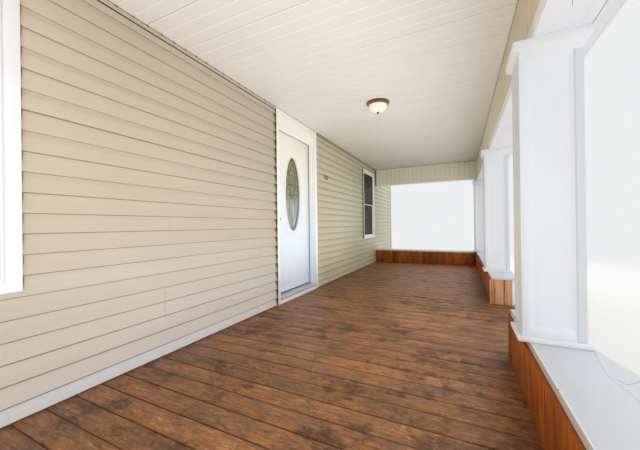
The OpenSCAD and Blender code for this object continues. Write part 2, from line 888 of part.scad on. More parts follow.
// Fascia along the rafters' tails, soffit behind it and a rake board up each gable
module eave_boards() {
    fascia_top = rafter_z(eave_d) + rafter_h;
    rake_x = beam_out_x + eave_board_t;
    rake_end_d = tail_d - seat;
    rake_top = [for (d = [roof_wall_d, rake_end_d]) [d, rafter_z(d) + rafter_h]];
    color(white) {
        block(-rake_x, rake_x, tail_d, eave_d, eave_z, fascia_top);
        block(-beam_out_x, beam_out_x, beam_out_d, rake_end_d, eave_z, eave_z + soffit_t);
        for (side = [-1, 1]) mirror([side < 0 ? 1 : 0, 0, 0]) run(beam_out_x + seat, rake_x)
            polygon([rake_top[0], rake_top[1], rake_top[1] - [0, rake_h], rake_top[0] - [0, rake_h]]);
    }
}

module roof_covering() {
    cover_x = beam_out_x + eave_board_t + drip;
    under = [[roof_wall_d, rafter_z(roof_wall_d) + rafter_h],
             [eave_d + drip, rafter_z(eave_d + drip) + rafter_h]];
    color("dimgray") run(-cover_x, cover_x) polygon([
        under[0], under[1], [under[1][0], under[1][1] + roof_t], [under[0][0], under[0][1] + roof_t]
    ]);
}

house_foundation();
wall_near();
wall_far();
wall_over_door();
siding_near();
siding_far();
corner_posts();
door_casing();
door_jamb();
door_riser();
door_sill();
jamb_hinges();
door_slab();
door_oval_frame();
door_glass();
door_lockset();
door_hinges();
window_casings();
window_frames();
window_sashes();
window_panes();
foundation_front();
foundation_cross();
deck_joists();
deck_rim();
deck_floor();
front_steps();
knee_walls_front();
knee_walls_end();
knee_planks();
knee_caps_front();
knee_caps_end();
column_bases();
columns();
column_capitals();
beam_bottom_boards();
front_beam();
end_beams();
beam_facing();
ceiling();
lamp_ring();
lamp_bowl();
rafters();
roof_gables();
eave_boards();
roof_covering();
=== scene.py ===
"""Dresses the front porch: boards, planks, trim, glass, roof and every finish, around the fixed frame."""

import math
import random

import bpy
from mathutils import Matrix, Vector


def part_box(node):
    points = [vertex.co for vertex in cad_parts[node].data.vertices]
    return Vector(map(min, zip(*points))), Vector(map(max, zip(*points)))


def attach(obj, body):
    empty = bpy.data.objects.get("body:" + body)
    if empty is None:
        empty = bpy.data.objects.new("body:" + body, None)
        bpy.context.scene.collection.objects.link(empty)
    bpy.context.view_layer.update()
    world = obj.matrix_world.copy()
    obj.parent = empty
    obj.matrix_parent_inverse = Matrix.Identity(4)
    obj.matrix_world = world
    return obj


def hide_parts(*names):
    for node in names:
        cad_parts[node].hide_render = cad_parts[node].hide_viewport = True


bl_info = {
    "name": "Front porch",
    "version": (1, 0, 0),
    "blender": (4, 5, 0),
    "location": "View3D > Sidebar > Porch",
    "description": "Dresses a timber front porch with boards, planks, trim, roof and finishes",
    "category": "Object",
}

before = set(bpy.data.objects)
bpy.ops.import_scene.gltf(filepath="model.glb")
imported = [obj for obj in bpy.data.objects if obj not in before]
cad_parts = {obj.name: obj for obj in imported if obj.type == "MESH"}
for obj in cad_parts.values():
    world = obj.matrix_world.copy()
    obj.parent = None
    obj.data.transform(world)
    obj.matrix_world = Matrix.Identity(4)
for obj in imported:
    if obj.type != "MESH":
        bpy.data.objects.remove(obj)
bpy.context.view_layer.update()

# Places that the frame gives, in metres
SIDING_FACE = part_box("siding_far")[0].y
DECK_LOW, DECK_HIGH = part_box("deck_floor")
CEILING_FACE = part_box("ceiling")[0].z
FACING_LOW, FACING_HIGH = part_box("beam_facing")
HOUSE_JOINT = FACING_HIGH.y
PLANK_LOW, PLANK_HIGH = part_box("knee_planks")
CAP_LOW, CAP_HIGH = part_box("knee_caps_front")
DOOR_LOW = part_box("door_slab")[0]
GLASS_LOW, GLASS_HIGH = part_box("door_glass")
LAMP_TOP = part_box("lamp_ring")[1].z
BOARD_LOW, BOARD_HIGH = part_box("beam_bottom_boards")
DOOR_CASING_LOW, DOOR_CASING_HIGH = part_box("door_casing")
ENTRY_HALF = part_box("front_steps")[1].x
ROOF_LOW, ROOF_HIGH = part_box("roof_covering")


def srgb(red, green, blue):
    """A colour given as it looks on a screen, from 0 to 255, as the linear colour that a shader takes."""
    def linear(value):
        value /= 255
        return value / 12.92 if value <= 0.04045 else ((value + 0.055) / 1.055) ** 2.4
    return (linear(red), linear(green), linear(blue))


def colour_property(name, description, default):
    """A colour that a user can change."""
    return bpy.props.FloatVectorProperty(
        name=name, description=description, default=default, subtype="COLOR", min=0, max=1)


def place_property(name, description, default):
    """A place along an axis, in metres, that a user can change."""
    return bpy.props.FloatProperty(
        name=name, description=description, default=default, unit="LENGTH", precision=4)


def length_property(name, description, default):
    """A length in metres that a user can change."""
    return bpy.props.FloatProperty(
        name=name, description=description, default=default, min=0, unit="LENGTH", precision=4)


class PorchColours(bpy.types.PropertyGroup):
    """Colours of the porch's finishes."""
    siding: colour_property("Siding", "Vinyl siding of the house wall", srgb(194, 184, 163))
    siding_line: colour_property("Siding line", "Shadow line under each lap", srgb(122, 106, 78))
    ceiling: colour_property("Ceiling", "Ribbed vinyl ceiling", srgb(237, 234, 229))
    # The pale rib colour is a painted highlight along each rib of the ceiling.
    rib: colour_property("Ceiling ribs", "Pale ribs of the ceiling", srgb(252, 249, 242))
    facing: colour_property("Beam facing", "Ribbed facing inside the beams", srgb(240, 236, 215))
    trim: colour_property("Trim", "White paint on columns, beams and casings", srgb(240, 242, 246))
    columns: colour_property("Columns", "White paint on the columns", srgb(237, 243, 250))
    door: colour_property("Door", "White paint on the door", srgb(246, 244, 235))
    cap: colour_property("Caps", "Pale paint on the knee wall caps", srgb(216, 221, 229))
    # The caps' inner edges are grey where their tops are pale: painted shade.
    cap_edge: colour_property("Cap edges", "Grey edge of the knee wall caps", srgb(214, 212, 209))
    deck_black: colour_property("Deck, black", "Black spots in the deck's stains", srgb(52, 42, 34))
    deck_dark: colour_property("Deck, dark", "Dark stains and knots of the deck", srgb(74, 52, 36))
    deck_middle: colour_property("Deck, middle", "Main colour of the deck stain", srgb(160, 108, 68))
    deck_warm: colour_property("Deck, warm", "Ochre patches of the deck stain", srgb(192, 126, 70))
    deck_grey: colour_property("Deck, grey", "Weathered grey-brown patches", srgb(134, 99, 70))
    deck_light: colour_property("Deck, light", "Worn pale parts of the deck stain", srgb(202, 152, 102))
    plank_dark: colour_property("Planks, dark", "Dark grain of the knee wall planks", srgb(104, 46, 14))
    plank_middle: colour_property("Planks, middle", "Main colour of the planks", srgb(182, 90, 20))
    plank_light: colour_property("Planks, light", "Light grain of the planks", srgb(222, 122, 36))
    lumber: colour_property("Framing lumber", "Rafters and joists", srgb(196, 164, 118))
    sheathing: colour_property("Wall back", "Plain back of the framed wall", srgb(200, 190, 172))
    concrete: colour_property("Concrete", "Foundations and steps", srgb(150, 148, 143))
    shingle: colour_property("Shingles", "Roof shingles", srgb(92, 90, 88))
    flashing: colour_property("Flashing", "Metal at the roof's edges", srgb(188, 190, 192))
    bronze: colour_property("Bronze", "Lamp ring, finial and house number", srgb(86, 70, 52))
    nickel: colour_property("Lock metal", "Knob and deadbolt", srgb(186, 184, 178))
    steel: colour_property("Hinge metal", "Door hinges and deck nails", srgb(160, 160, 158))
    sill: colour_property("Sill metal", "Aluminium door sill", srgb(196, 200, 204))
    seal: colour_property("Seal", "Rubber seal and sweep of the door", srgb(104, 102, 97))
    lead: colour_property("Lead", "Lead lines in the door's glass", srgb(92, 95, 84))
    window_glass: colour_property("Window glass", "Dark glass of the windows", srgb(44, 42, 30))
    door_glass: colour_property("Door glass", "Obscured glass of the door", srgb(146, 154, 140))
    lamp_glass: colour_property("Lamp glass", "Frosted bowl of the lamp", srgb(250, 243, 228))
    # Besides real joints and cracks, the dark strips of painted shadow take this colour.
    gap: colour_property("Gaps", "Dark joints and gaps", srgb(64, 48, 26))


class PorchSizes(bpy.types.PropertyGroup):
    """Sizes of what is added to the frame."""
    board_pitch: length_property("Deck board pitch", "Distance from deck board to deck board", 0.1287)
    board_gap: length_property("Deck board gap", "Gap between two deck boards", 0.004)
    board_line: place_property("Deck board line", "Place of one gap between deck boards", -2.411)
    plank_pitch: length_property("Plank pitch", "Distance from plank to plank on the knee walls", 0.139)
    plank_gap: length_property("Plank gap", "Gap between two planks", 0.005)
    nail_radius: length_property("Nail radius", "Radius of a nail head", 0.0042)
    course: length_property("Siding course", "Height of one siding course", 0.1016)
    first_butt: length_property("First butt", "Height of the first butt edge above the deck", 0.0853)
    rib_pitch: length_property("Rib pitch", "Distance between the ribs of ceiling and facing", 0.1016)
    rib_shift: place_property("Rib shift", "Place of one rib of the ceiling along the porch", -0.02)
    channel: length_property("Channel", "Width of the vinyl edge channels", 0.021)
    wall_channel: length_property("Wall channel", "Width of the channels along the wall's top", 0.028)
    seal_width: length_property("Seal", "Width of the door's seals and sweep", 0.006)
    came: length_property("Lead line", "Width of the lead lines in the door's glass", 0.005)
    digit_height: length_property("Digit height", "Height of the house number's digits", 0.072)
    number_x: place_property("Number place", "Middle of the house number along the porch", 1.076)
    number_z: length_property("Number height", "Middle of the house number above the ground", 2.22)
    beam_seam: length_property("Beam seam", "Distance of the seam under the beam from its outer edge", 0.0445)
    beam_trim: length_property("Beam trim", "Thickness of the trim board outside the front beam", 0.0145)
    cap_seam: length_property("Cap seam", "Width of the lap along the outer edge of the caps", 0.033)
    shingle_tab: length_property("Shingle tab", "Width of one shingle tab", 0.305)
    shingle_exposure: length_property("Shingle exposure", "Part of a shingle that shows", 0.127)
    shingle_lap: length_property("Shingle lap", "Part of a shingle under the next row", 0.02)
    shingle_thickness: length_property("Shingle thickness", "Thickness of a shingle", 0.004)


class PorchStage(bpy.types.PropertyGroup):
    """Camera and light."""
    camera_place: bpy.props.FloatVectorProperty(
        name="Camera place", description="Where the camera stands", subtype="TRANSLATION",
        default=(-3.14, -0.5035, 1.454))
    camera_turn: bpy.props.FloatProperty(
        name="Camera turn", description="Heading of the camera from the porch's length to the house",
        default=math.radians(25.7), subtype="ANGLE")
    camera_tilt: bpy.props.FloatProperty(
        name="Camera tilt", description="Tilt of the camera above level", default=math.radians(0.1),
        subtype="ANGLE")
    camera_roll: bpy.props.FloatProperty(
        name="Camera roll", description="Roll of the camera", default=math.radians(-0.7),
        subtype="ANGLE")
    lens: bpy.props.FloatProperty(
        name="Lens", description="Focal length on a 36 mm sensor, in millimetres", default=16.37, min=1)
    sky: bpy.props.FloatProperty(
        name="Sky", description="Strength of the soft light from all round", default=1.0, min=0)
    yard_lamp: bpy.props.FloatProperty(
        name="Yard lamp", description="Power of the soft lamp in front, in watts", default=60, min=0)
    end_lamp: bpy.props.FloatProperty(
        name="End lamp", description="Power of the soft lamps off the ends, in watts", default=120,
        min=0)
    roof_lamp: bpy.props.FloatProperty(
        name="Roof lamp", description="Power of the soft lamp above the roof, in watts", default=160,
        min=0)
    fill: bpy.props.FloatProperty(
        name="Fill", description="Power of the light that fills the porch, in watts", default=9, min=0)
    backdrop: colour_property("Backdrop", "Pale colour behind the porch", srgb(238, 239, 240))
    floor: colour_property("Floor", "Pale studio floor", srgb(238, 238, 237))


class Finish:
    """A procedural material, built node by node on the piece's own coordinates."""

    def __init__(self, name, roughness=0.5, metallic=0.0):
        self.material = bpy.data.materials.new(name)
        self.material.use_nodes = True
        self.tree = self.material.node_tree
        self.shader = self.tree.nodes["Principled BSDF"]
        self.shader.inputs["Roughness"].default_value = roughness
        self.shader.inputs["Metallic"].default_value = metallic
        self.place = self.add("TexCoord").outputs["Object"]
        self.x, self.y, self.z = self.add("SeparateXYZ", {"Vector": self.place}).outputs

    def add(self, kind, inputs=None, **settings):
        """Adds a shader node with its settings, and fills its inputs with values or links."""
        node = self.tree.nodes.new("ShaderNode" + kind)
        for key, value in settings.items():
            setattr(node, key, value)
        for key, value in (inputs or {}).items():
            self.put(node.inputs[key], value)
        return node

    def put(self, socket, value):
        """Links a socket to another, or gives it a value."""
        if isinstance(value, bpy.types.NodeSocket):
            self.tree.links.new(value, socket)
        elif socket.type == "RGBA" and len(value) == 3:
            socket.default_value = (*value, 1)
        else:
            socket.default_value = value

    def read(self, name):
        """A number that the piece's mesh holds under a name."""
        return self.add("Attribute", attribute_name=name).outputs["Fac"]

    def calc(self, operation, first, second=0.0):
        """One sum on numbers."""
        return self.add("Math", {0: first, 1: second}, operation=operation).outputs[0]

    def plus(self, first, second):
        """Two numbers added."""
        return self.calc("ADD", first, second)

    def minus(self, first, second):
        """The second number taken from the first."""
        return self.calc("SUBTRACT", first, second)

    def times(self, first, second):
        """Two numbers multiplied."""
        return self.calc("MULTIPLY", first, second)

    def far(self, value, place=0.0):
        """How far a number is from a place."""
        return self.calc("ABSOLUTE", self.minus(value, place))

    def fit(self, value, low, high, to_low=0.0, to_high=1.0):
        """A number carried smoothly from one range to another, and held at its ends."""
        return self.add("MapRange", {0: value, 1: low, 2: high, 3: to_low, 4: to_high},
                        interpolation_type="SMOOTHSTEP").outputs[0]

    def some(self, value, low, high, amount):
        """An amount, as far as a number has come from low to high."""
        return self.times(self.fit(value, low, high), amount)

    def stretch(self, scale, place=None):
        """Coordinates scaled along each axis."""
        return self.add("Mapping", {"Vector": place or self.place, "Scale": scale}).outputs[0]

    def noise(self, scale, detail=3.0, roughness=0.5, place=None):
        """Soft random values from 0 to 1."""
        return self.add("TexNoise", {"Vector": place or self.place, "Scale": scale, "Detail": detail,
                                     "Roughness": roughness}).outputs[0]

    def drawn(self, scale, detail=3.0, roughness=0.5):
        """Soft random values, drawn out or pressed together along each axis."""
        return self.noise(1.0, detail, roughness, self.stretch(scale))

    def spots(self, scale, place=None):
        """Distance to the nearest of many scattered points."""
        return self.add("TexVoronoi", {"Vector": place or self.place, "Scale": scale}).outputs[0]

    def chance(self, value):
        """A random number for each whole number."""
        return self.add("TexWhiteNoise", {"W": self.calc("FLOOR", value)}, noise_dimensions="1D").outputs[0]

    def mix(self, factor, first, second, way="MIX"):
        """Two colours mixed."""
        node = self.add("Mix", data_type="RGBA", blend_type=way)
        ends = {socket.name: socket for socket in node.inputs if socket.type == "RGBA"}
        self.put(node.inputs[0], factor)
        self.put(ends["A"], first)
        self.put(ends["B"], second)
        return next(socket for socket in node.outputs if socket.type == "RGBA")

    def darken(self, colour, factor, amount):
        """A colour darkened by up to an amount, where the factor is 1."""
        level = self.minus(1.0, self.times(factor, amount))
        grey = self.add("CombineColor", {0: level, 1: level, 2: level}).outputs[0]
        return self.mix(1.0, colour, grey, "MULTIPLY")

    def base(self, colour):
        """Sets the surface colour."""
        self.put(self.shader.inputs["Base Color"], colour)

    def rough(self, value):
        """Sets a roughness that varies."""
        self.put(self.shader.inputs["Roughness"], value)

    def set(self, **values):
        """Sets shader values that are the same all over, by name with _ for spaces."""
        for key, value in values.items():
            self.put(self.shader.inputs[key.replace("_", " ")], value)

    def bump(self, height, distance, strength=1.0):
        """Adds relief, on top of what there is already."""
        before = self.shader.inputs["Normal"]
        inputs = {"Height": height, "Distance": distance, "Strength": strength}
        if before.is_linked:
            inputs["Normal"] = before.links[0].from_socket
        self.put(before, self.add("Bump", inputs).outputs[0])


def trim_paint(name, colour, along="Z", foot=None, yard=None):
    """White paint on boards: brush marks along them, faint soiling, and slopes round sunk panels greyed with
    painted shade. A foot colour shows low down, painted cool light. From the yard's place outwards it is
    greyer, with a dark line along that place, and it is warmer on faces to the house: all painted shade."""
    finish = Finish(name, roughness=0.42)
    # grime is dirt; warm is the painted shade on faces to the house.
    grime, warm = srgb(168, 156, 138), (0.80, 0.76, 0.70)
    brush = finish.drawn({"X": (0.6, 60, 60), "Y": (60, 0.6, 60), "Z": (60, 60, 0.6)}[along])
    soil = finish.noise(1.3, 6.0, 0.6)
    # Painted cool light low down.
    if foot:
        colour = finish.mix(finish.fit(finish.z, 2.4, 1.2), colour, foot)
    # Painted shade: greyer outwards of the yard's place, a dark line along it, and warmer on faces to the
    # house.
    if yard:
        colour = finish.darken(colour, finish.fit(finish.y, yard + 0.002, yard - 0.001), 0.15)
        colour = finish.darken(colour, finish.fit(finish.far(finish.y, yard), 0.005, 0.002), 0.16)
        colour = finish.mix(finish.read("house_side_shade"), colour, warm, "MULTIPLY")
    shade = finish.darken(colour, finish.fit(soil, 0.48, 0.75), 0.05)
    shade = finish.darken(shade, finish.fit(brush, 0.5, 0.8), 0.02)
    # Painted shade on the upright slopes round sunk panels.
    if not yard:
        shade = finish.darken(shade, finish.read("slope"), 0.06)
    finish.base(finish.mix(finish.some(finish.noise(9.0, 5.0, 0.7), 0.62, 0.8, 0.10), shade, grime))
    finish.rough(finish.fit(soil, 0.3, 0.8, 0.36, 0.5))
    finish.bump(brush, 0.0006, 0.5)
    finish.bump(soil, 0.002, 0.15)
    return finish.material


def lap_place(finish, sizes):
    """Counts the siding courses upwards: the number of the course, and the place within it from 0 to 1."""
    course = finish.calc("DIVIDE", finish.minus(finish.z, DECK_HIGH.z + sizes.first_butt), sizes.course)
    return course, finish.calc("FRACT", course)


def vinyl_siding(name, colours, sizes):
    """Beige vinyl in double courses: a crisp painted shadow line under every second butt edge, and between
    them a painted shadow line that fades into a soft band of painted shade higher up the wall."""
    finish = Finish(name, roughness=0.46)
    painted_peach_light, painted_cool_light, pale = srgb(215, 197, 175), srgb(207, 202, 192), srgb(242, 236, 228)
    white, olive, dust = srgb(236, 241, 248), srgb(195, 189, 160), srgb(150, 130, 100)
    course, within = lap_place(finish, sizes)
    double = finish.calc("DIVIDE", course, 2.0)
    crisp = finish.calc("GREATER_THAN", finish.calc("FRACT", double), 0.5)
    faint = finish.minus(1.0, crisp)
    high = finish.fit(finish.z, 1.2, 2.2)
    low = finish.minus(1.0, high)

    # Painted light: peach high at the near end, cool and pale low down, white at the deck, olive beyond the
    # door
    near = finish.times(finish.fit(finish.x, -2.0, -2.6), finish.fit(finish.z, 1.2, 2.6))
    colour = finish.mix(finish.times(near, 0.65), colours.siding, painted_peach_light)
    cool_light_below_eye = finish.times(finish.fit(finish.z, 1.6, 0.8), finish.fit(finish.x, -3.4, -1.6))
    colour = finish.mix(cool_light_below_eye, colour, painted_cool_light)
    colour = finish.mix(finish.fit(finish.z, 1.0, 0.60, 0.0, 0.85), colour, pale)
    butt = DECK_HIGH.z + sizes.first_butt
    start = finish.times(finish.fit(finish.z, butt + 0.001, butt - 0.002), finish.fit(finish.x, 0.6, -1.8))
    colour = finish.mix(finish.times(start, 0.8), colour, white)
    beyond = finish.fit(finish.x, 0.2, 1.2)
    colour = finish.mix(beyond, colour, olive)
    colour = finish.darken(colour, finish.chance(double), 0.02)
    colour = finish.darken(colour, finish.fit(finish.noise(0.9, 3.0), 0.35, 0.7), 0.05)

    # Painted shade across each course, and the painted shadow line under its butt edge, which widens below
    # the eye
    for start, end, where, amount in ((0.55, 0.8, finish.times(faint, high), 0.10), (0.45, 0.95, beyond, 0.2),
                                      (0.78, 0.92, finish.times(crisp, high), 0.05),
                                      (0.62, 0.5, low, 0.035)):
        colour = finish.darken(colour, finish.times(finish.fit(within, start, end), where), amount)
    strength = finish.plus(finish.times(crisp, 0.74),
                           finish.times(faint, finish.fit(high, 0.0, 1.0, 0.7, 0.2)))
    strength = finish.times(strength, finish.fit(beyond, 0.0, 1.0, 1.0, 1.35))
    below = finish.plus(within, finish.fit(finish.z, 1.25, 0.68, 0.0, 0.045))
    line = finish.times(finish.fit(below, 0.945, 0.972), strength)
    colour = finish.mix(line, colour, colours.siding_line)
    finish.base(finish.mix(finish.some(finish.noise(30.0, 4.0, 0.7), 0.66, 0.82, 0.10), colour, dust))
    finish.bump(finish.drawn((5, 5, 220), 4.0, 0.6), 0.0006, 0.35)
    finish.bump(finish.drawn((1.6, 1.6, 7), 2.0), 0.004, 0.35)
    return finish.material


def lap_shadow(name, colours, sizes):
    """Edge channel beside a casing: the ends of the laps stand before it, their shadows painted as dark
    teeth.
    """
    finish = Finish(name, roughness=0.6)
    ragged = finish.minus(finish.drawn((20, 20, 45), 3.0, 0.6), 0.5)
    shortest = finish.fit(finish.x, 0.8, 2.0, 0.4, 0.8)
    reach = finish.plus(finish.fit(lap_place(finish, sizes)[1], 0.1, 1.0, shortest, 1.1),
                        finish.times(ragged, 0.5))
    shadow_tooth = finish.fit(finish.minus(finish.read("tone"), reach), 0.06, -0.06)
    shade = finish.mix(finish.noise(14.0, 3.0), colours.gap, colours.siding_line)
    finish.base(finish.mix(shadow_tooth, colours.siding, shade))
    return finish.material


def ribbed_vinyl(name, colour, rib_colour, pitch, shift=0.0, ribs=0.8, seam=0.5, reeds=0, corner=None,
                 fade=(-1.5, 3.6), faded=(0.75, 0.74, 0.69), nearest=None):
    """Ribbed vinyl panels: a rib line of its own colour, a painted highlight when pale and painted shade when
    dark, a thin underline of painted shade, and a worn seam at every third. Their colour is multiplied by the
    shade tint towards the second place of the shade span, painted shade along the porch, and by the nearest
    tint at the near end, painted light there. Past a corner, at the porch's ends, the ribs are counted across
    the porch."""
    finish = Finish(name, roughness=0.5)
    place = finish.x
    if corner:
        turned = finish.calc("GREATER_THAN", finish.far(finish.x), corner)
        place = finish.plus(finish.times(turned, finish.y),
                            finish.times(finish.minus(1.0, turned), finish.x))
    rib = finish.calc("DIVIDE", finish.minus(place, shift), pitch)

    def away(count, offset=0.0):
        """Distance to the nearest line, in metres, with count lines to a rib."""
        turn = finish.plus(finish.times(rib, count), 0.5 + offset * count / pitch)
        return finish.times(finish.far(finish.calc("FRACT", turn), 0.5), pitch / count)

    shade = finish.darken(colour, finish.chance(finish.calc("DIVIDE", rib, 3.0)), 0.02)
    shade = finish.darken(shade, finish.fit(finish.noise(1.1, 4.0), 0.4, 0.7), 0.03)
    # Painted shade along the porch, and painted light at the near end.
    shade = finish.mix(finish.fit(finish.x, *fade), shade, faded, "MULTIPLY")
    if nearest:
        shade = finish.mix(finish.fit(finish.x, -1.0, -2.2), shade, nearest, "MULTIPLY")
    # Darker reed lines: painted shade in their grooves.
    if reeds:
        reed = finish.fit(away(reeds), 0.004, 0.001)
        shade = finish.darken(shade, finish.times(reed, finish.drawn((9, 9, 1.5), 2.0)), 0.15)
    # The rib line: a painted highlight in a pale colour, painted shade in a dark one; then a thin underline
    # of painted shade.
    shade = finish.mix(finish.some(away(1), 0.0058, 0.0036, ribs), shade, rib_colour)
    shade = finish.darken(shade, finish.fit(away(1, 0.0085), 0.0026, 0.001), 0.1)
    joint = finish.fit(away(1 / 3, 0.0075), 0.0026, 0.0012)
    worn = finish.fit(finish.drawn((2.0, 0.7, 1.0)), 0.4, 0.6)
    finish.base(finish.darken(shade, finish.times(joint, worn), seam))
    finish.bump(finish.drawn((160, 4, 4)), 0.0005, 0.3)
    return finish.material


def own_place(finish, tone):
    """Coordinates that are shifted for each board, so that no two look alike."""
    away = finish.add("CombineXYZ", {0: tone, 1: tone, 2: tone}).outputs[0]
    return finish.add("VectorMath", {0: away, 1: (17.3, 31.7, 23.1), 2: finish.place},
                      operation="MULTIPLY_ADD").outputs[0]


def grain_scale(finish, place, along, across, lengthwise):
    """Coordinates scaled across the grain and along it."""
    return finish.stretch([lengthwise if axis == along else across for axis in "XYZ"], place)


def deck_stain(name, colours, sizes):
    """Worn deck stain: ochre and grey-brown mottling, dark stains over several boards, and dark edges."""
    finish = Finish(name, roughness=0.5)
    speck, edge_brown = srgb(214, 196, 172), srgb(84, 46, 24)
    tone = finish.read("tone")
    place = own_place(finish, tone)

    def grain(across, lengthwise, detail=6.0, roughness=0.7):
        """Random values drawn out along the boards."""
        return finish.noise(1.0, detail, roughness, grain_scale(finish, place, "Y", across, lengthwise))

    colour = finish.mix(finish.fit(grain(20, 6, 7.0, 0.75), 0.42, 0.58), colours.deck_middle,
                        colours.deck_warm)
    for fibres, low, high, amount, other in (
            (grain(7, 3.6), 0.45, 0.60, 0.75, colours.deck_grey),
            (grain(34, 9.0, 7.0, 0.8), 0.52, 0.64, 0.8, colours.deck_light),
            (grain(60, 20, 6.0, 0.8), 0.52, 0.62, 0.6, colours.deck_dark)):
        colour = finish.mix(finish.some(fibres, low, high, amount), colour, other)
    colour = finish.darken(colour, finish.fit(finish.drawn((70, 52, 1.0), 8.0, 0.85), 0.48, 0.60), 0.22)
    stain = finish.drawn((4.6, 3.2, 1.0), 8.0, 0.78)
    colour = finish.mix(finish.some(stain, 0.51, 0.62, 0.75), colour, colours.deck_dark)
    spot = finish.drawn((34, 24, 1.0), 6.0, 0.8)
    black = finish.times(finish.fit(spot, 0.55, 0.64), finish.fit(stain, 0.49, 0.60))
    colour = finish.mix(finish.times(black, 0.85), colour, colours.deck_black)
    colour = finish.darken(colour, finish.fit(grain(64, 2.6, 4.0, 0.6), 0.52, 0.70), 0.22)
    fibre = grain(170, 8, 4.0, 0.65)
    colour = finish.darken(colour, finish.fit(fibre, 0.42, 0.62), 0.36)
    scarce = finish.some(finish.noise(3.1, 2.0), 0.53, 0.57, 0.75)
    colour = finish.mix(finish.times(finish.fit(finish.spots(31.0), 0.11, 0.05), scarce), colour, speck)
    turn = finish.calc("DIVIDE", finish.minus(finish.x, sizes.board_line), sizes.board_pitch)
    off = finish.far(finish.calc("FRACT", finish.plus(turn, 0.5)), 0.5)
    edge = finish.some(finish.times(off, sizes.board_pitch), 0.0085, 0.003, 0.5)
    finish.base(finish.darken(finish.mix(edge, colour, edge_brown), tone, 0.28))
    finish.rough(finish.fit(stain, 0.3, 0.75, 0.42, 0.6))
    finish.set(Specular_IOR_Level=0.4)
    finish.bump(fibre, 0.0012, 0.4)
    finish.bump(grain(24, 8, 6.0, 0.75), 0.0015, 0.3)
    return finish.material


def stained_wood(name, dark, middle, light, along, gloss=0.45, figure=0.45, blotch=0.5, end_z=None):
    """Stained boards: grain along them, growth rings, knots, blotches and a tone for each board.
    With a height of their end grain they are the knee walls' planks: streaked, paler at the entry from wear
    and painted light, darker at the porch's ends from board tone and painted shade, and dull and dark on top
    from end grain and painted shade."""
    finish = Finish(name, roughness=gloss)
    tone = finish.read("tone")
    place = own_place(finish, tone)

    def scaled(across, lengthwise):
        """Coordinates drawn out along the board."""
        return grain_scale(finish, place, along, across, lengthwise)

    fibre = finish.noise(1.0, 6.0, 0.65, scaled(150, 3.0))
    broad = finish.noise(1.0, 2.0, 0.4, scaled(13, 0.55))
    rings = finish.fit(finish.calc("SINE", finish.times(broad, 46.0)), -0.4, 1.0)
    knot_far = finish.spots(1.0, scaled(9.0, 1.9))
    ring_round = finish.some(finish.calc("SINE", finish.times(knot_far, 55.0)), 0.0, 1.0, 0.5)
    patch = finish.noise(2.1, 5.0, 0.6)
    wear = finish.noise(1.0, 4.0, 0.6, scaled(7.0, 1.4))

    colour = finish.mix(finish.fit(fibre, 0.3, 0.7), middle, light)
    colour = finish.mix(finish.times(rings, figure), colour, dark)
    colour = finish.mix(finish.some(wear, 0.42, 0.72, 0.35), colour, light)
    colour = finish.mix(finish.times(finish.fit(knot_far, 0.35, 0.12), ring_round), colour, dark)
    colour = finish.mix(finish.some(knot_far, 0.13, 0.05, 0.8), colour, dark)
    colour = finish.mix(finish.some(patch, 0.5, 0.78, blotch), colour, dark)
    colour = finish.darken(colour, tone, 0.36)
    shine = finish.fit(patch, 0.3, 0.75, gloss - 0.06, gloss + 0.14)
    if end_z:
        streak = finish.noise(1.0, 5.0, 0.7, scaled(46, 1.6))
        colour = finish.mix(finish.some(streak, 0.46, 0.64, 0.75), colour, dark)
        from_middle = finish.far(finish.x)
        # Paler towards the entry: wear and painted light.
        pale = finish.mix(finish.fit(streak, 0.49, 0.60), srgb(238, 194, 150), srgb(160, 106, 66))
        worn = finish.some(from_middle, ENTRY_HALF + 0.03, ENTRY_HALF + 0.02, 0.68)
        colour = finish.mix(worn, colour, pale)
        # Darker at the porch's ends, more on some boards: painted shade and board tone.
        shaded = finish.fit(from_middle, PLANK_HIGH.x - 0.05, PLANK_HIGH.x - 0.03)
        colour = finish.darken(colour, finish.times(shaded, finish.fit(tone, 0.2, 0.9, 0.5, 1.0)), 0.4)
        # Darker and dull on top: end grain, darkened further as painted shade against the light from above.
        above = finish.fit(finish.z, end_z - 0.0016, end_z - 0.0008)
        end_grain_and_shade = finish.mix(finish.fit(fibre, 0.3, 0.7), srgb(142, 72, 25), srgb(160, 84, 32))
        colour = finish.mix(above, colour, end_grain_and_shade)
        shine = finish.calc("MAXIMUM", shine, above)
    finish.base(colour)
    finish.set(Specular_IOR_Level=0.2)
    finish.rough(shine)
    finish.bump(fibre, 0.0012, 0.4)
    finish.bump(rings, 0.0008, 0.25)
    return finish.material


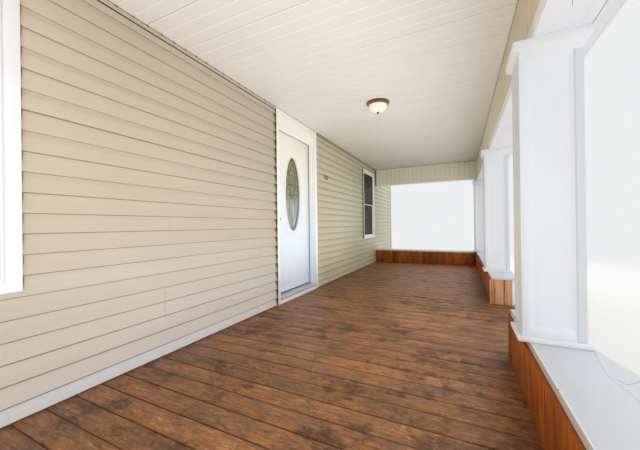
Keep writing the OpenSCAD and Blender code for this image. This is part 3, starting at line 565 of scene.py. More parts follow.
def cap_paint(name, colours):
    """Pale painted cap: white-grey on top, at its ends and outside; grey-beige along its inner edge, a grey
    that is painted shade, with a painted highlight on the bright arris of that edge."""
    finish = Finish(name, roughness=0.36)
    streak = finish.drawn((1.1, 5.0, 1.0), 5.0, 0.6)
    white = finish.darken(colours.cap, finish.fit(streak, 0.45, 0.8), 0.07)
    edge = finish.darken(colours.cap_edge, finish.fit(finish.noise(14.0, 4.0), 0.5, 0.8), 0.18)
    edge = finish.darken(edge, finish.fit(finish.drawn((26, 26, 60), 5.0, 0.8), 0.70, 0.76), 0.6)
    # Painted highlight along the arris of the inner edge.
    arris = finish.times(finish.fit(finish.y, CAP_HIGH.y - 0.005, CAP_HIGH.y - 0.0025),
                         finish.minus(1.0, finish.fit(finish.y, CAP_HIGH.y, CAP_HIGH.y + 0.001)))
    white = finish.mix(arris, white, srgb(250, 250, 248))
    # The top, the ends and the outer face are lit faces in pale paint; the rest is the grey of painted shade.
    top = finish.fit(finish.z, CAP_HIGH.z - 0.0055, CAP_HIGH.z - 0.0035)
    end = finish.fit(finish.far(finish.x), ENTRY_HALF + 0.004, ENTRY_HALF - 0.002)
    outer = finish.fit(finish.y, CAP_LOW.y + 0.012, CAP_LOW.y + 0.004)
    lit_faces = finish.calc("MAXIMUM", finish.calc("MAXIMUM", top, end), outer)
    finish.base(finish.mix(lit_faces, edge, white))
    finish.bump(finish.noise(26.0, 4.0, 0.6), 0.001, 0.25)
    return finish.material


def cast_concrete(name, colour):
    """Plain concrete with pores, stains and fine grit, damp at its foot."""
    finish = Finish(name, roughness=0.88)
    cloud = finish.noise(2.3, 6.0, 0.62)
    grit = finish.noise(160.0, 3.0, 0.6)
    damp = finish.times(finish.fit(finish.z, 0.22, 0.0), finish.fit(cloud, 0.2, 0.6))
    shade = finish.darken(colour, finish.fit(cloud, 0.35, 0.75), 0.22)
    shade = finish.darken(shade, finish.fit(grit, 0.5, 0.8), 0.16)
    finish.base(finish.darken(shade, damp, 0.25))
    finish.bump(grit, 0.0012, 0.6)
    finish.bump(cloud, 0.004, 0.3)
    return finish.material


def shingle_grit(name, colour):
    """Roof shingles: mineral grit, and a tone of its own for each tab."""
    finish = Finish(name, roughness=0.95)
    grit = finish.noise(420.0, 2.0, 0.7)
    shade = finish.darken(colour, finish.read("tone"), 0.32)
    shade = finish.mix(finish.fit(grit, 0.56, 0.7), shade, srgb(150, 146, 140))
    finish.base(finish.darken(shade, finish.fit(finish.noise(1.2, 4.0), 0.4, 0.7), 0.16))
    finish.bump(grit, 0.0015, 0.6)
    return finish.material


def sheathing_board(name, colour, sheet=1.22):
    """Plain sheet back of a framed wall, with a faint joint between the sheets."""
    finish = Finish(name, roughness=0.8)
    off = finish.far(finish.calc("FRACT", finish.calc("DIVIDE", finish.x, sheet)), 0.5)
    fibre = finish.drawn((22, 22, 5), 5.0, 0.6)
    shade = finish.darken(colour, finish.fit(fibre, 0.4, 0.75), 0.10)
    finish.base(finish.darken(shade, finish.fit(off, 0.0035, 0.0015), 0.5))
    finish.bump(fibre, 0.001, 0.3)
    return finish.material


def brushed_metal(name, colour, roughness=0.35, dull=0.25):
    """Metal with fine brushing and a little tarnish."""
    finish = Finish(name, roughness=roughness, metallic=1.0)
    tarnish = finish.noise(38.0, 5.0, 0.65)
    finish.base(finish.darken(colour, finish.fit(tarnish, 0.45, 0.75), dull))
    finish.rough(finish.fit(tarnish, 0.3, 0.8, roughness - 0.05, roughness + 0.2))
    finish.bump(finish.drawn((900, 900, 60), 2.0), 0.0003, 0.3)
    return finish.material


def dull_aluminium(name, colour):
    """Mill-finish aluminium: pale grey, scuffed and only a little mirrored."""
    finish = Finish(name, roughness=0.5, metallic=0.35)
    scuff = finish.drawn((8, 60, 60), 5.0, 0.65)
    finish.base(finish.darken(colour, finish.fit(scuff, 0.45, 0.75), 0.22))
    finish.rough(finish.fit(scuff, 0.3, 0.8, 0.4, 0.6))
    finish.bump(scuff, 0.0004, 0.3)
    return finish.material


def lamp_ring_metal(name, colour):
    """Bronze ring: dark upright rim, lighter worn bronze below it, and an olive finial."""
    finish = Finish(name, roughness=0.42, metallic=0.6)
    rim_foot, finial_top = LAMP_TOP - 0.009, LAMP_TOP - 0.095
    worn = finish.mix(finish.noise(60.0, 4.0), srgb(164, 132, 98), srgb(128, 100, 72))
    shade = finish.mix(finish.fit(finish.z, rim_foot, rim_foot - 0.004), colour, worn)
    finial = finish.fit(finish.z, finial_top, finial_top - 0.003)
    finish.base(finish.mix(finial, shade, srgb(98, 90, 64)))
    finish.bump(finish.noise(140.0, 3.0), 0.0006, 0.3)
    return finish.material


def lit_glass(name, colour):
    """Frosted bowl, lit from inside: palest at its foot, with faint clouding."""
    finish = Finish(name, roughness=0.35)
    low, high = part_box("lamp_bowl")
    cloud = finish.fit(finish.noise(34.0, 4.0, 0.6), 0.4, 0.8)
    warm = finish.mix(finish.fit(finish.z, low.z, high.z), srgb(255, 253, 236), srgb(255, 236, 186))
    finish.base(finish.darken(colour, cloud, 0.06))
    finish.put(finish.shader.inputs["Emission Color"], finish.darken(warm, cloud, 0.08))
    finish.set(Emission_Strength=0.17)
    return finish.material


def window_pane(name, colour):
    """Dark window glass with faint streaks, a paler band low down and bright glints, both painted
    reflections.
    """
    finish = Finish(name, roughness=0.3)
    streak = finish.fit(finish.drawn((9, 9, 1.6), 4.0, 0.6), 0.42, 0.75)
    shade = finish.mix(streak, colour, srgb(72, 70, 52))
    # A paler band low down: painted reflection.
    pale = finish.fit(finish.drawn((5, 5, 3), 5.0, 0.65), 0.46, 0.7)
    shade = finish.mix(finish.times(pale, finish.fit(finish.z, 1.75, 1.3)), shade, srgb(104, 101, 88))
    # Bright glints: painted reflection.
    glint = finish.some(finish.drawn((30, 30, 16), 5.0, 0.75), 0.60, 0.70, 0.5)
    finish.base(finish.mix(glint, shade, srgb(150, 150, 134)))
    finish.set(Specular_IOR_Level=0.02)
    finish.bump(finish.noise(1.4, 2.0), 0.004, 0.12)
    return finish.material


def obscured_glass(name, colour):
    """Rippled glass of the oval: dark and olive above, paler and greener low down, dark round its edge."""
    finish = Finish(name, roughness=0.16)
    middle = (GLASS_LOW + GLASS_HIGH) / 2
    half = (GLASS_HIGH - GLASS_LOW) / 2
    across = finish.calc("DIVIDE", finish.minus(finish.x, middle.x), half.x)
    up = finish.calc("DIVIDE", finish.minus(finish.z, middle.z), half.z)
    out = finish.calc("SQRT", finish.plus(finish.times(across, across), finish.times(up, up)))
    ripple = finish.drawn((60, 60, 26), 4.0, 0.6)
    clump = finish.fit(finish.drawn((44, 44, 24), 4.0, 0.7), 0.40, 0.62)
    dark = finish.mix(clump, srgb(152, 152, 134), srgb(108, 108, 86))
    pale = finish.mix(finish.fit(ripple, 0.35, 0.7), colour, srgb(164, 172, 158))
    shade = finish.mix(finish.fit(up, -0.28, 0.02), pale, dark)
    streak = finish.times(finish.fit(finish.far(across, 0.25), 0.3, 0.12), finish.fit(up, -0.15, -0.4))
    shade = finish.mix(finish.times(streak, 0.5), shade, srgb(186, 196, 192))
    finish.base(finish.darken(shade, finish.fit(out, 0.84, 0.96), 0.5))
    finish.set(Specular_IOR_Level=0.4, Coat_Weight=0.2, Coat_Roughness=0.08)
    finish.bump(ripple, 0.003, 0.5)
    return finish.material


def plain_dark(name, colour):
    """Dark rubber, lead, bronze, cracks, gaps and strips of painted shadow, uneven along their length."""
    finish = Finish(name, roughness=0.7)
    finish.base(finish.darken(colour, finish.noise(20.0, 4.0), 0.35))
    return finish.material


def studio_plain(name, colour, backdrop):
    """Plain matt studio floor that fades into the backdrop far from the porch, where it is seen."""
    finish = Finish(name, roughness=0.9)
    finish.base(finish.darken(colour, finish.noise(0.4, 2.0), 0.015))
    away = finish.add("VectorMath", {0: finish.place}, operation="LENGTH").outputs["Value"]
    seen = finish.add("LightPath").outputs["Is Camera Ray"]
    glow = finish.add("Emission", {"Color": backdrop})
    mixed = finish.add("MixShader", {0: finish.times(finish.fit(away, 5.5, 15.0), seen),
                                     1: finish.shader.outputs[0], 2: glow.outputs[0]})
    finish.put(finish.tree.nodes["Material Output"].inputs["Surface"], mixed.outputs[0])
    return finish.material


def material_of(name, make, *values, **settings):
    """The material of that name, made the first time that a piece asks for it."""
    return bpy.data.materials.get(name) or make(name, *values, **settings)


def clear_selection():
    """Leaves edit mode and deselects every object."""
    if bpy.context.mode != "OBJECT":
        bpy.ops.object.mode_set(mode="OBJECT")
    bpy.ops.object.select_all(action="DESELECT")


def take(piece):
    """Makes a piece the only one selected, and the active one."""
    clear_selection()
    piece.select_set(True)
    bpy.context.view_layer.objects.active = piece


def settle(piece):
    """Moves a piece's place, turn and scale into its mesh."""
    take(piece)
    bpy.ops.object.transform_apply(location=True, rotation=True, scale=True)
    return piece


def block(name, low, high):
    """A box between two corners."""
    clear_selection()
    low, high = Vector(low), Vector(high)
    bpy.ops.mesh.primitive_cube_add(size=1, location=(low + high) / 2, scale=high - low)
    piece = bpy.context.object
    piece.name = name
    return settle(piece)


def ease(piece, width, segments=2, angle=30):
    """Rounds a piece's sharp edges."""
    take(piece)
    bevel = piece.modifiers.new("bevel", "BEVEL")
    bevel.width, bevel.segments = width, segments
    bevel.limit_method, bevel.angle_limit = "ANGLE", math.radians(angle)
    bpy.ops.object.modifier_apply(modifier=bevel.name)
    return piece


def own_copy(piece, shift):
    """A copy of a piece with its own mesh, moved by a shift or by a matrix."""
    twin = bpy.data.objects.new(piece.name, piece.data.copy())
    twin.data.transform(shift if isinstance(shift, Matrix) else Matrix.Translation(shift))
    bpy.context.scene.collection.objects.link(twin)
    return twin


def write_down(piece, name, domain, values):
    """Stores a number for each corner or face of a piece, for its material to read."""
    piece.data.attributes.new(name, "FLOAT", domain).data.foreach_set("value", values)
    return piece


def give_tone(piece, tone):
    """Stores the number that a material reads as the board's own tone."""
    return write_down(piece, "tone", "POINT", [tone] * len(piece.data.vertices))


def join(pieces, name):
    """Joins pieces into one."""
    clear_selection()
    for piece in pieces:
        piece.select_set(True)
    bpy.context.view_layer.objects.active = pieces[0]
    if len(pieces) > 1:
        bpy.ops.object.join()
    pieces[0].name = name
    return pieces[0]


def paint(piece, material):
    """Gives a piece its one material."""
    piece.data.materials.clear()
    piece.data.materials.append(material)


def finish_piece(piece, slot, material, *nodes, body="porch", angle=35):
    """Gives a piece its material, smooth shading and its body, and hides the nodes that it stands for. The
    slot is not used.
    """
    paint(piece, material)
    take(piece)
    bpy.ops.object.shade_smooth_by_angle(angle=math.radians(angle))
    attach(piece, body)
    if nodes:
        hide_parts(*nodes)
    return piece


def dress_node(node, material):
    """Gives a node of the frame its material."""
    paint(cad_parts[node], material)


def merged_copy(node, name):
    """A copy of a node of the frame, with its corners merged and each flat face in one."""
    piece = bpy.data.objects.new(name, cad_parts[node].data.copy())
    bpy.context.scene.collection.objects.link(piece)
    take(piece)
    bpy.ops.object.mode_set(mode="EDIT")
    bpy.ops.mesh.select_all(action="SELECT")
    bpy.ops.mesh.remove_doubles(threshold=0.00005)
    bpy.ops.mesh.dissolve_limited(angle_limit=math.radians(0.5))
    bpy.ops.mesh.normals_make_consistent(inside=False)
    bpy.ops.object.mode_set(mode="OBJECT")
    return piece


def eased_copy(node, slot, material, width, segments=2, body="porch"):
    """Stands a copy of a node in its place, with its sharp edges rounded. It stores for trim_paint which
    faces are upright slopes, and which look to the house, where trim_paint paints shade."""
    piece = merged_copy(node, node + "_finished")
    normals = [face.normal.copy() for face in piece.data.polygons]
    write_down(piece, "slope", "FACE", [float(abs(way.z) < 0.1 and 0.1 < way.y < 0.99) for way in normals])
    write_down(piece, "house_side_shade", "FACE", [float(way.y > 0.6) for way in normals])
    ease(piece, width, segments)
    return finish_piece(piece, slot, material, node, body=body)


def white_copies(material, **widths):
    """Stands copies of white trim nodes in their places, each with the width of its rounded edges."""
    for node, width in widths.items():
        eased_copy(node, "white_trim", material, width)


def corners_of(piece):
    """The lowest and the highest corner of a piece."""
    places = [corner.co for corner in piece.data.vertices]
    return (Vector(map(min, *places)), Vector(map(max, *places)))


def places_of(node, axis, digits=4):
    """The places along an axis, 0 to 2, at which a node of the frame has corners."""
    return sorted({round(corner.co[axis], digits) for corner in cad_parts[node].data.vertices})


def fit_copy(model, low, high, tone):
    """A copy of a modelled board, fitted between two corners, with a tone of its own."""
    low, high = Vector(low), Vector(high)
    start, end = corners_of(model)
    scale = Matrix.Diagonal([wide / span for wide, span in zip(high - low, end - start)]).to_4x4()
    return give_tone(own_copy(model, Matrix.Translation(low) @ scale @ Matrix.Translation(-start)), tone)


def shift_corners(piece, chosen, shift):
    """Moves the corners of a piece that a test on their places picks."""
    take(piece)
    bpy.ops.object.mode_set(mode="EDIT")
    bpy.ops.mesh.select_mode(type="VERT")
    bpy.ops.mesh.select_all(action="DESELECT")
    bpy.ops.object.mode_set(mode="OBJECT")
    for corner in piece.data.vertices:
        corner.select = chosen(corner.co)
    bpy.ops.object.mode_set(mode="EDIT")
    bpy.ops.transform.translate(value=shift)
    bpy.ops.object.mode_set(mode="OBJECT")
    return piece


def strips(name, boxes, width=0.0003):
    """Slim eased strips between pairs of corners, as one piece."""
    return ease(join([block(name, low, high) for low, high in boxes], name), width, 1)


def mirrored(boxes):
    """Boxes and their mirror images at the other end of the porch."""
    both = []
    for low, high in boxes:
        both.append((low, high))
        both.append(((-high[0], *low[1:]), (-low[0], *high[1:])))
    return both


def ordered(first, second):
    """Two corners as the lowest and the highest."""
    return (tuple(map(min, first, second)), tuple(map(max, first, second)))


class PorchStep:
    """What the operators share: each builds its pieces from the sizes and colours on the scene."""

    def execute(self, context):
        self.build(context.scene.porch_sizes, context.scene.porch_colours)
        return {"FINISHED"}


class PORCH_OT_deck_boards(PorchStep, bpy.types.Operator):
    """Lay the deck boards across the porch, with open joints"""
    bl_idname = "porch.deck_boards"
    bl_label = "Deck boards"

    def build(self, sizes, colours):
        wood = material_of("deck_stain", deck_stain, colours, sizes)
        rng = random.Random(11)
        gap, narrowest, uneven, eased = sizes.board_gap / 2, 0.02, 0.0012, 0.0025
        model = ease(block("deck_board", (0, DECK_LOW.y, DECK_LOW.z),
                           (sizes.board_pitch, DECK_HIGH.y, DECK_HIGH.z)), eased)
        line = sizes.board_line
        while line > DECK_LOW.x:
            line -= sizes.board_pitch
        boards = []
        while line < DECK_HIGH.x:
            left = max(line + gap + rng.uniform(-uneven, uneven), DECK_LOW.x)
            line += sizes.board_pitch
            right = min(line - gap + rng.uniform(-uneven, uneven), DECK_HIGH.x)
            sunk, tone = rng.uniform(0.0, uneven), rng.random()
            if right - left > narrowest:
                boards.append(fit_copy(model, (left, DECK_LOW.y, DECK_LOW.z),
                                       (right, DECK_HIGH.y, DECK_HIGH.z - sunk), tone))
        bpy.data.objects.remove(model)
        finish_piece(join(boards, "deck_boards"), "deck_wood", wood, "deck_floor")


class PORCH_OT_deck_nails(PorchStep, bpy.types.Operator):
    """Drive two nails through each deck board over each joist"""
    bl_idname = "porch.deck_nails"
    bl_label = "Deck nails"

    def build(self, sizes, colours):
        metal = material_of("nail_steel", brushed_metal, colours.steel, roughness=0.5, dull=0.6)
        inset, astray, along, sunk, flat = 0.028, 0.004, 0.01, 0.0009, 0.28
        clear_selection()
        bpy.ops.mesh.primitive_uv_sphere_add(segments=8, ring_count=4, radius=sizes.nail_radius)
        bpy.context.object.scale = (1, 1, flat)
        nail = settle(bpy.context.object)
        sides = places_of("deck_joists", 1, digits=3)
        middles = [(low + high) / 2 for low, high in zip(sides[::2], sides[1::2])]
        rng = random.Random(5)
        nails = []
        line = sizes.board_line
        while line - sizes.board_pitch > DECK_LOW.x:
            line -= sizes.board_pitch
        while line + sizes.board_pitch < DECK_HIGH.x:
            for middle in middles:
                for side in (line + inset, line + sizes.board_pitch - inset):
                    nails.append(own_copy(nail, (side + rng.uniform(-astray, astray),
                                                 middle + rng.uniform(-along, along),
                                                 DECK_HIGH.z - sunk)))
            line += sizes.board_pitch
        bpy.data.objects.remove(nail)
        finish_piece(join(nails, "deck_nails"), "hinge_metal", metal)


class PlankFaces:
    """Planes that the plank cladding lies between, read from the frame."""

    def __init__(self):
        xs = [x for x in places_of("knee_planks", 0) if x > 0]
        self.entry_x, self.entry_back_x, self.end_x, self.outer_x = xs
        self.entry_low_y, self.core_y, self.front_y, self.wall_y = places_of("knee_planks", 1)


class PORCH_OT_knee_planks(PorchStep, bpy.types.Operator):
    """Clad the knee walls with upright planks, inside and round the entry ends"""
    bl_idname = "porch.knee_planks"
    bl_label = "Knee wall planks"

    def build(self, sizes, colours):
        wood = material_of("cedar_stain", stained_wood, colours.plank_dark, colours.plank_middle,
                           colours.plank_light, along="Z", gloss=0.34, figure=0.3, blotch=0.3,
                           end_z=PLANK_HIGH.z)
        rng = random.Random(23)
        faces = PlankFaces()
        low, high = PLANK_LOW.z, PLANK_HIGH.z
        thick, narrowest, uneven, eased = faces.front_y - faces.core_y, 0.03, 0.0012, 0.003
        lengthwise = ease(block("plank", (0, 0, low), (sizes.plank_pitch, thick, high)), eased)
        endwise = own_copy(lengthwise, Matrix.Rotation(math.pi / 2, 4, "Z"))
        planks = []

        def row(model, start, end, place_of):
            """Planks side by side from start to end, the last one cut to fit."""
            step = math.copysign(sizes.plank_pitch, end - start)
            gap = math.copysign(sizes.plank_gap / 2, step)
            at = start
            while abs(end - at) > sizes.plank_gap:
                stop = end if abs(end - at) < sizes.plank_pitch + narrowest else at + step
                recess = rng.uniform(0.0, uneven)
                planks.append(fit_copy(model, *ordered(*place_of(at + gap, stop - gap, recess)),
                                       rng.random()))
                at = stop

        for side in (-1, 1):
            row(lengthwise, faces.entry_back_x, faces.outer_x, lambda near, far, recess: (
                (side * near, faces.front_y - recess, low), (side * far, faces.core_y, high)))
            row(endwise, faces.front_y, faces.wall_y, lambda near, far, recess: (
                (side * (faces.end_x + recess), near, low), (side * faces.outer_x, far, high)))
            row(endwise, faces.front_y, faces.entry_low_y, lambda near, far, recess: (
                (side * (faces.entry_x + recess), near, low), (side * faces.entry_back_x, far, high)))
        for model in (lengthwise, endwise):
            bpy.data.objects.remove(model)
        finish_piece(join(planks, "plank_cladding"), "plank_wood", wood, "knee_planks")


class PORCH_OT_siding(PorchStep, bpy.types.Operator):
    """Finish the lapped siding with rounded butt edges, its end laps and its corner posts"""
    bl_idname = "porch.siding"
    bl_label = "Siding"

    def build(self, sizes, colours):
        vinyl = material_of("siding_vinyl", vinyl_siding, colours, sizes)
        for node in ("siding_near", "siding_far"):
            eased_copy(node, "siding", vinyl, 0.0016)
        eased_copy("corner_posts", "siding", material_of("corner_vinyl", trim_paint, colours.siding), 0.004)
        shade, lean, wide, proud = 0.86, 0.01, 0.003, 0.0008
        lap = material_of("end_lap", trim_paint, tuple(value * shade for value in colours.siding))
        laps = []
        for x, course in ((-1.743, 2), (-1.738, 3), (-1.696, 8), (-0.62, 5), (-3.9, 6), (2.35, 4),
                          (1.83, 12), (4.9, 9)):
            low = DECK_HIGH.z + sizes.first_butt + course * sizes.course
            lap_end = block("end_lap", (x, SIDING_FACE - proud, low),
                            (x + wide, SIDING_FACE + proud, low + sizes.course))
            laps.append(shift_corners(lap_end, lambda place: place.z > low + sizes.course / 2,
                                      (0, lean, 0)))
        finish_piece(ease(join(laps, "end_laps"), 0.0003, 1), "siding", lap)


class PORCH_OT_edge_channels(PorchStep, bpy.types.Operator):
    """Run the vinyl edge channels where siding, casings, ceiling and beam facing meet"""
    bl_idname = "porch.edge_channels"
    bl_label = "Edge channels"

    def build(self, sizes, colours):
        flange = 0.012
        end_x, front_y = FACING_HIGH.x - flange, FACING_LOW.y + flange
        self.top_channels(sizes, colours, end_x, front_y)
        facing = material_of("channel_vinyl", trim_paint, colours.facing, along="X")
        low, wide, lip, overlap = FACING_LOW.z + 0.0004, sizes.channel, 0.0022, 0.004
        high = FACING_LOW.z + wide
        lips = [((-end_x, front_y - overlap, low), (end_x, front_y + lip, high))]
        lips += mirrored([((end_x - lip, front_y + lip, low), (end_x + overlap, HOUSE_JOINT, high))])
        finish_piece(strips("facing_channels", lips, 0.0009), "facing", facing)
        self.stand_channels(sizes, colours)

    def top_channels(self, sizes, colours, end_x, front_y):
        """Channels along the top of the wall, with dark strips of painted shadow round them and under the
        ceiling's ribs.
        """
        face, top, casing_low, casing_high = SIDING_FACE, CEILING_FACE, DOOR_CASING_LOW.x, DOOR_CASING_HIGH.x
        wide, slit, hair, eased = sizes.wall_channel, 0.0045, 0.0002, 0.0015
        near, far = (-end_x, casing_low), (casing_high, end_x)

        def run(ends, out, into, down, up=hair):
            """A strip along the top of the wall, from out of its face into it, and down from the ceiling."""
            return ((ends[0], face - out, top - down), (ends[1], face + into, top - up))

        # The far channel's darker vinyl colour is painted shade.
        for name, material, ends in (
                ("wall_channels", material_of("corner_vinyl", trim_paint, colours.siding), near),
                ("far_wall_channel", material_of("shaded_vinyl", trim_paint, srgb(178, 161, 130)), far)):
            channel = run(ends, 0.003, 0.008, slit + wide, slit)
            finish_piece(strips(name, [channel], eased), "siding", material)

        # Dark strips of painted shadow: above and below the channels, over the door's head, wide at the far
        # end, at each rib, along the facing's top and at the beams' ends.
        header, under, notch_half = DOOR_CASING_LOW.y, 0.005, 0.006
        dark = [run(ends, 0.001, 0.008, slit) for ends in (near, far)]
        dark += [run(ends, 0.0012, 0.008, slit + wide + under, slit + wide) for ends in (near, far)]
        dark.append(((casing_low, header - 0.0008, top - slit), (casing_high, header + 0.003, top - hair)))
        dark.append(run(far, 0.0035, 0.004, 0.012))
        notch = sizes.rib_shift
        while notch > -end_x:
            notch -= sizes.rib_pitch
        while notch + sizes.rib_pitch < end_x:
            notch += sizes.rib_pitch
            if not casing_low < notch < casing_high:
                dark.append(run((notch - notch_half, notch + notch_half), 0.0055, 0.004, 0.008))
        proud, sunk, behind, beam_thick = 0.0015, 0.001, 0.003, 0.14
        dark.append(((-end_x, front_y - sunk, top - slit), (end_x, front_y + proud, top - hair)))
        dark += mirrored([((end_x - proud, front_y, top - slit), (end_x + sunk, face, top - hair)),
                          ((end_x + behind, HOUSE_JOINT, FACING_LOW.z + sunk),
                           (end_x + beam_thick, face + sunk, top - sunk))])
        finish_piece(strips("painted_shadow_strips", dark), "facing", material_of("dark_gap", plain_dark, colours.gap))

    def stand_channels(self, sizes, colours):
        """Upright channels beside the casings, with the shadows of the laps' ends painted in them as dark
        teeth.
        """
        material = material_of("lap_shadow", lap_shadow, colours, sizes)
        wide, narrow, lip_thick, lip_proud, eased = sizes.channel, 0.3, 0.0025, 0.016, 0.0004
        face, door_top, sunk, proud, lightest = SIDING_FACE, CEILING_FACE - wide, 0.009, 0.001, 0.9
        casings = [(DOOR_CASING_LOW.x, -1, DECK_HIGH.z, door_top),
                   (DOOR_CASING_HIGH.x, 1, DECK_HIGH.z, door_top)]
        sides = places_of("window_casings", 0)
        low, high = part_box("window_casings")
        for near, far in ((sides[0], sides[3]), (sides[4], sides[7])):
            casings += [(near, -1, low.z, high.z), (far, 1, low.z, high.z)]
        channels = []
        for x, way, bottom, top in casings:
            reach = wide if way < 0 else wide * narrow
            edges = ordered((x, face - proud, bottom), (x + way * reach, face + sunk, top))
            channel = ease(block("channel", *edges), eased, 1)
            across = [abs(corner.co.x - x) / reach for corner in channel.data.vertices]
            channels.append(write_down(channel, "tone", "POINT", across))
            if way < 0:
                # On the near side a lip, its face painted with the laps' shadow, darkest next to the siding.
                lip = ease(block("lip", (x - lip_thick, face - lip_proud, bottom), (x, face, top)), eased, 1)
                out = [lightest * (face - corner.co.y) / lip_proud for corner in lip.data.vertices]
                channels.append(write_down(lip, "tone", "POINT", out))
        finish_piece(join(channels, "casing_channels"), "siding", material)


class PORCH_OT_columns(PorchStep, bpy.types.Operator):
    """Finish the columns, their bases and capitals, and the knee walls' white boards"""
    bl_idname = "porch.columns"
    bl_label = "Columns"

    def build(self, sizes, colours):
        # Past the outer stile the columns' paint is greyer, with a dark line at the stile's edge, and warmer
        # on faces to the house: painted shade.
        stile = 0.037
        white_copies(material_of("column_paint", trim_paint, colours.columns,
                                 yard=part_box("columns")[0].y + stile), columns=0.0022)
        white_copies(material_of("trim_paint", trim_paint, colours.trim), column_capitals=0.002,
                     column_bases=0.003, knee_walls_front=0.002, knee_walls_end=0.002)


def crack(start, end):
    """A hair crack from one point to another on a level face."""
    start, end = Vector(start), Vector(end)
    span, thin = end - start, 0.0007
    hair = ease(block("crack", (0, -thin, -thin), (span.length, thin, thin / 2)), 0.0002, 1)
    hair.data.transform(Matrix.Translation(start) @ span.to_track_quat("X", "Z").to_matrix().to_4x4())
    return hair


class PORCH_OT_caps(PorchStep, bpy.types.Operator):
    """Finish the knee wall caps, with the lap and the cracks of their covering, and their edge strips"""
    bl_idname = "porch.caps"
    bl_label = "Caps"

    def build(self, sizes, colours):
        cover = material_of("cap_paint", cap_paint, colours)
        white_copies(cover, knee_caps_front=0.002, knee_caps_end=0.002)
        top = self.lay_lap(sizes, cover)
        bends = [(-1.6342, -1.041), (-1.6653, -1.0576), (-1.648, -1.0824), (-1.6143, -1.1142)]
        cracks = [crack((*start, top), (*end, top)) for start, end in zip(bends, bends[1:])]
        notch_x, notch_wide, inward, deep, proud, raised = -1.8076, 0.004, 0.003, 0.004, 0.0003, 0.0002
        cracks.append(block("cap_notch", (notch_x, CAP_HIGH.y - inward, CAP_HIGH.z - deep),
                            (notch_x + notch_wide, CAP_HIGH.y + proud, CAP_HIGH.z + raised)))
        finish_piece(join(cracks, "cap_cracks"), "white_trim",
                     material_of("dark_gap", plain_dark, colours.gap))
        self.edge_strips(colours)

    def lay_lap(self, sizes, cover):
        """A lap of the covering along the near cap's outer edge, which flares towards the near end."""
        outer, flare, sheet, proud, beside = CAP_LOW.y, 0.065, 0.009, 0.0012, 0.001
        near, seam_x, lap_x, tip = CAP_LOW.x, -1.784, -1.6077, -1.3105
        low, high = CAP_HIGH.z - sheet, CAP_HIGH.z + proud
        edge, inner, inner_end, tip_y = outer - flare, outer + sizes.cap_seam, outer + 0.055, outer + 0.006
        flap = [block("cap_lap", (start, edge, low), (end, back, high)) for start, end, back in (
            (near, seam_x, inner), (seam_x, lap_x, inner), (lap_x, tip, inner_end))]
        for part, end, chosen, shift in (
                (flap[1], lap_x, lambda y: y > outer, inner_end - inner),
                (flap[2], tip, lambda y: y < outer, flare),
                (flap[2], tip, lambda y: y > tip_y, tip_y - inner_end)):
            shift_corners(part, lambda place: place.x > end - beside and chosen(place.y), (0, shift, 0))
        finish_piece(ease(join(flap, "cap_lap"), 0.001, 1), "white_trim", cover)
        return high

    def edge_strips(self, colours):
        """Strips that close the joint between the caps and the planks, grey like the caps' inner edges, which
        is painted shade.
        """
        planks, thin, lip, overlap = PlankFaces(), 0.0015, 0.0042, 0.01
        low, high = PLANK_HIGH.z - thin, PLANK_HIGH.z + thin
        start = max(x for x in places_of("column_bases", 0) if x < planks.outer_x / 2)
        edges = mirrored([((start - overlap, planks.core_y - lip, low), (planks.end_x, planks.core_y, high)),
                          ((planks.outer_x, planks.core_y - lip, low),
                           (planks.outer_x + lip, planks.wall_y, high))])
        grey = material_of("edge_paint", trim_paint, colours.cap_edge, along="X")
        finish_piece(strips("cap_edge_strips", edges, 0.0005), "white_trim", grey)


class PORCH_OT_beams(PorchStep, bpy.types.Operator):
    """Finish the beams, their bottom boards and outer trim, the gables and the eave boards"""
    bl_idname = "porch.beams"
    bl_label = "Beams and eaves"

    def build(self, sizes, colours):
        level = material_of("trim_paint_level", trim_paint, colours.trim, along="X")
        white_copies(level, beam_bottom_boards=0.002, front_beam=0.002, end_beams=0.002,
                     roof_gables=0.002, eave_boards=0.002)
        outer, bottom, half = BOARD_LOW.y, BOARD_LOW.z, BOARD_HIGH.x
        slot, trim_top, seam, seam_half = 0.002, bottom + 0.09, outer + sizes.beam_seam, 0.002
        trim_low, seam_low, seam_high, dark_low = (bottom + up for up in (-0.0015, -0.0009, 0.002, 0.003))
        trim = [((-half, outer - slot - sizes.beam_trim, trim_low), (half, outer - slot, trim_top)),
                ((-half, seam - seam_half, seam_low), (half, seam + seam_half, seam_high))]
        finish_piece(strips("beam_trim", trim, 0.0004), "white_trim", level)
        # A dark strip in the slot behind the trim: painted shadow. The hair crack beside it is a crack.
        dark = strips("beam_joints", [((-half, outer - slot, dark_low), (half, outer, trim_top))])
        split = crack((-1.58, -0.939, bottom), (-1.5385, -0.9492, bottom))
        finish_piece(join([dark, split], "beam_joints"), "white_trim",
                     material_of("dark_gap", plain_dark, colours.gap))


def lead_line(name, middle, half_width, half_height, corners, radius):
    """A lead line bent round an oval or a diamond that stands on the glass."""
    clear_selection()
    bpy.ops.mesh.primitive_circle_add(vertices=corners, radius=1, location=middle,
                                      rotation=(math.pi / 2, 0, 0))
    bpy.context.object.scale = (half_width, half_height, 1)
    settle(bpy.context.object)
    bpy.ops.object.convert(target="CURVE")
    line = bpy.context.object
    line.name = name
    line.data.bevel_depth = radius
    line.data.bevel_resolution = 1
    bpy.ops.object.convert(target="MESH")
    return bpy.context.object


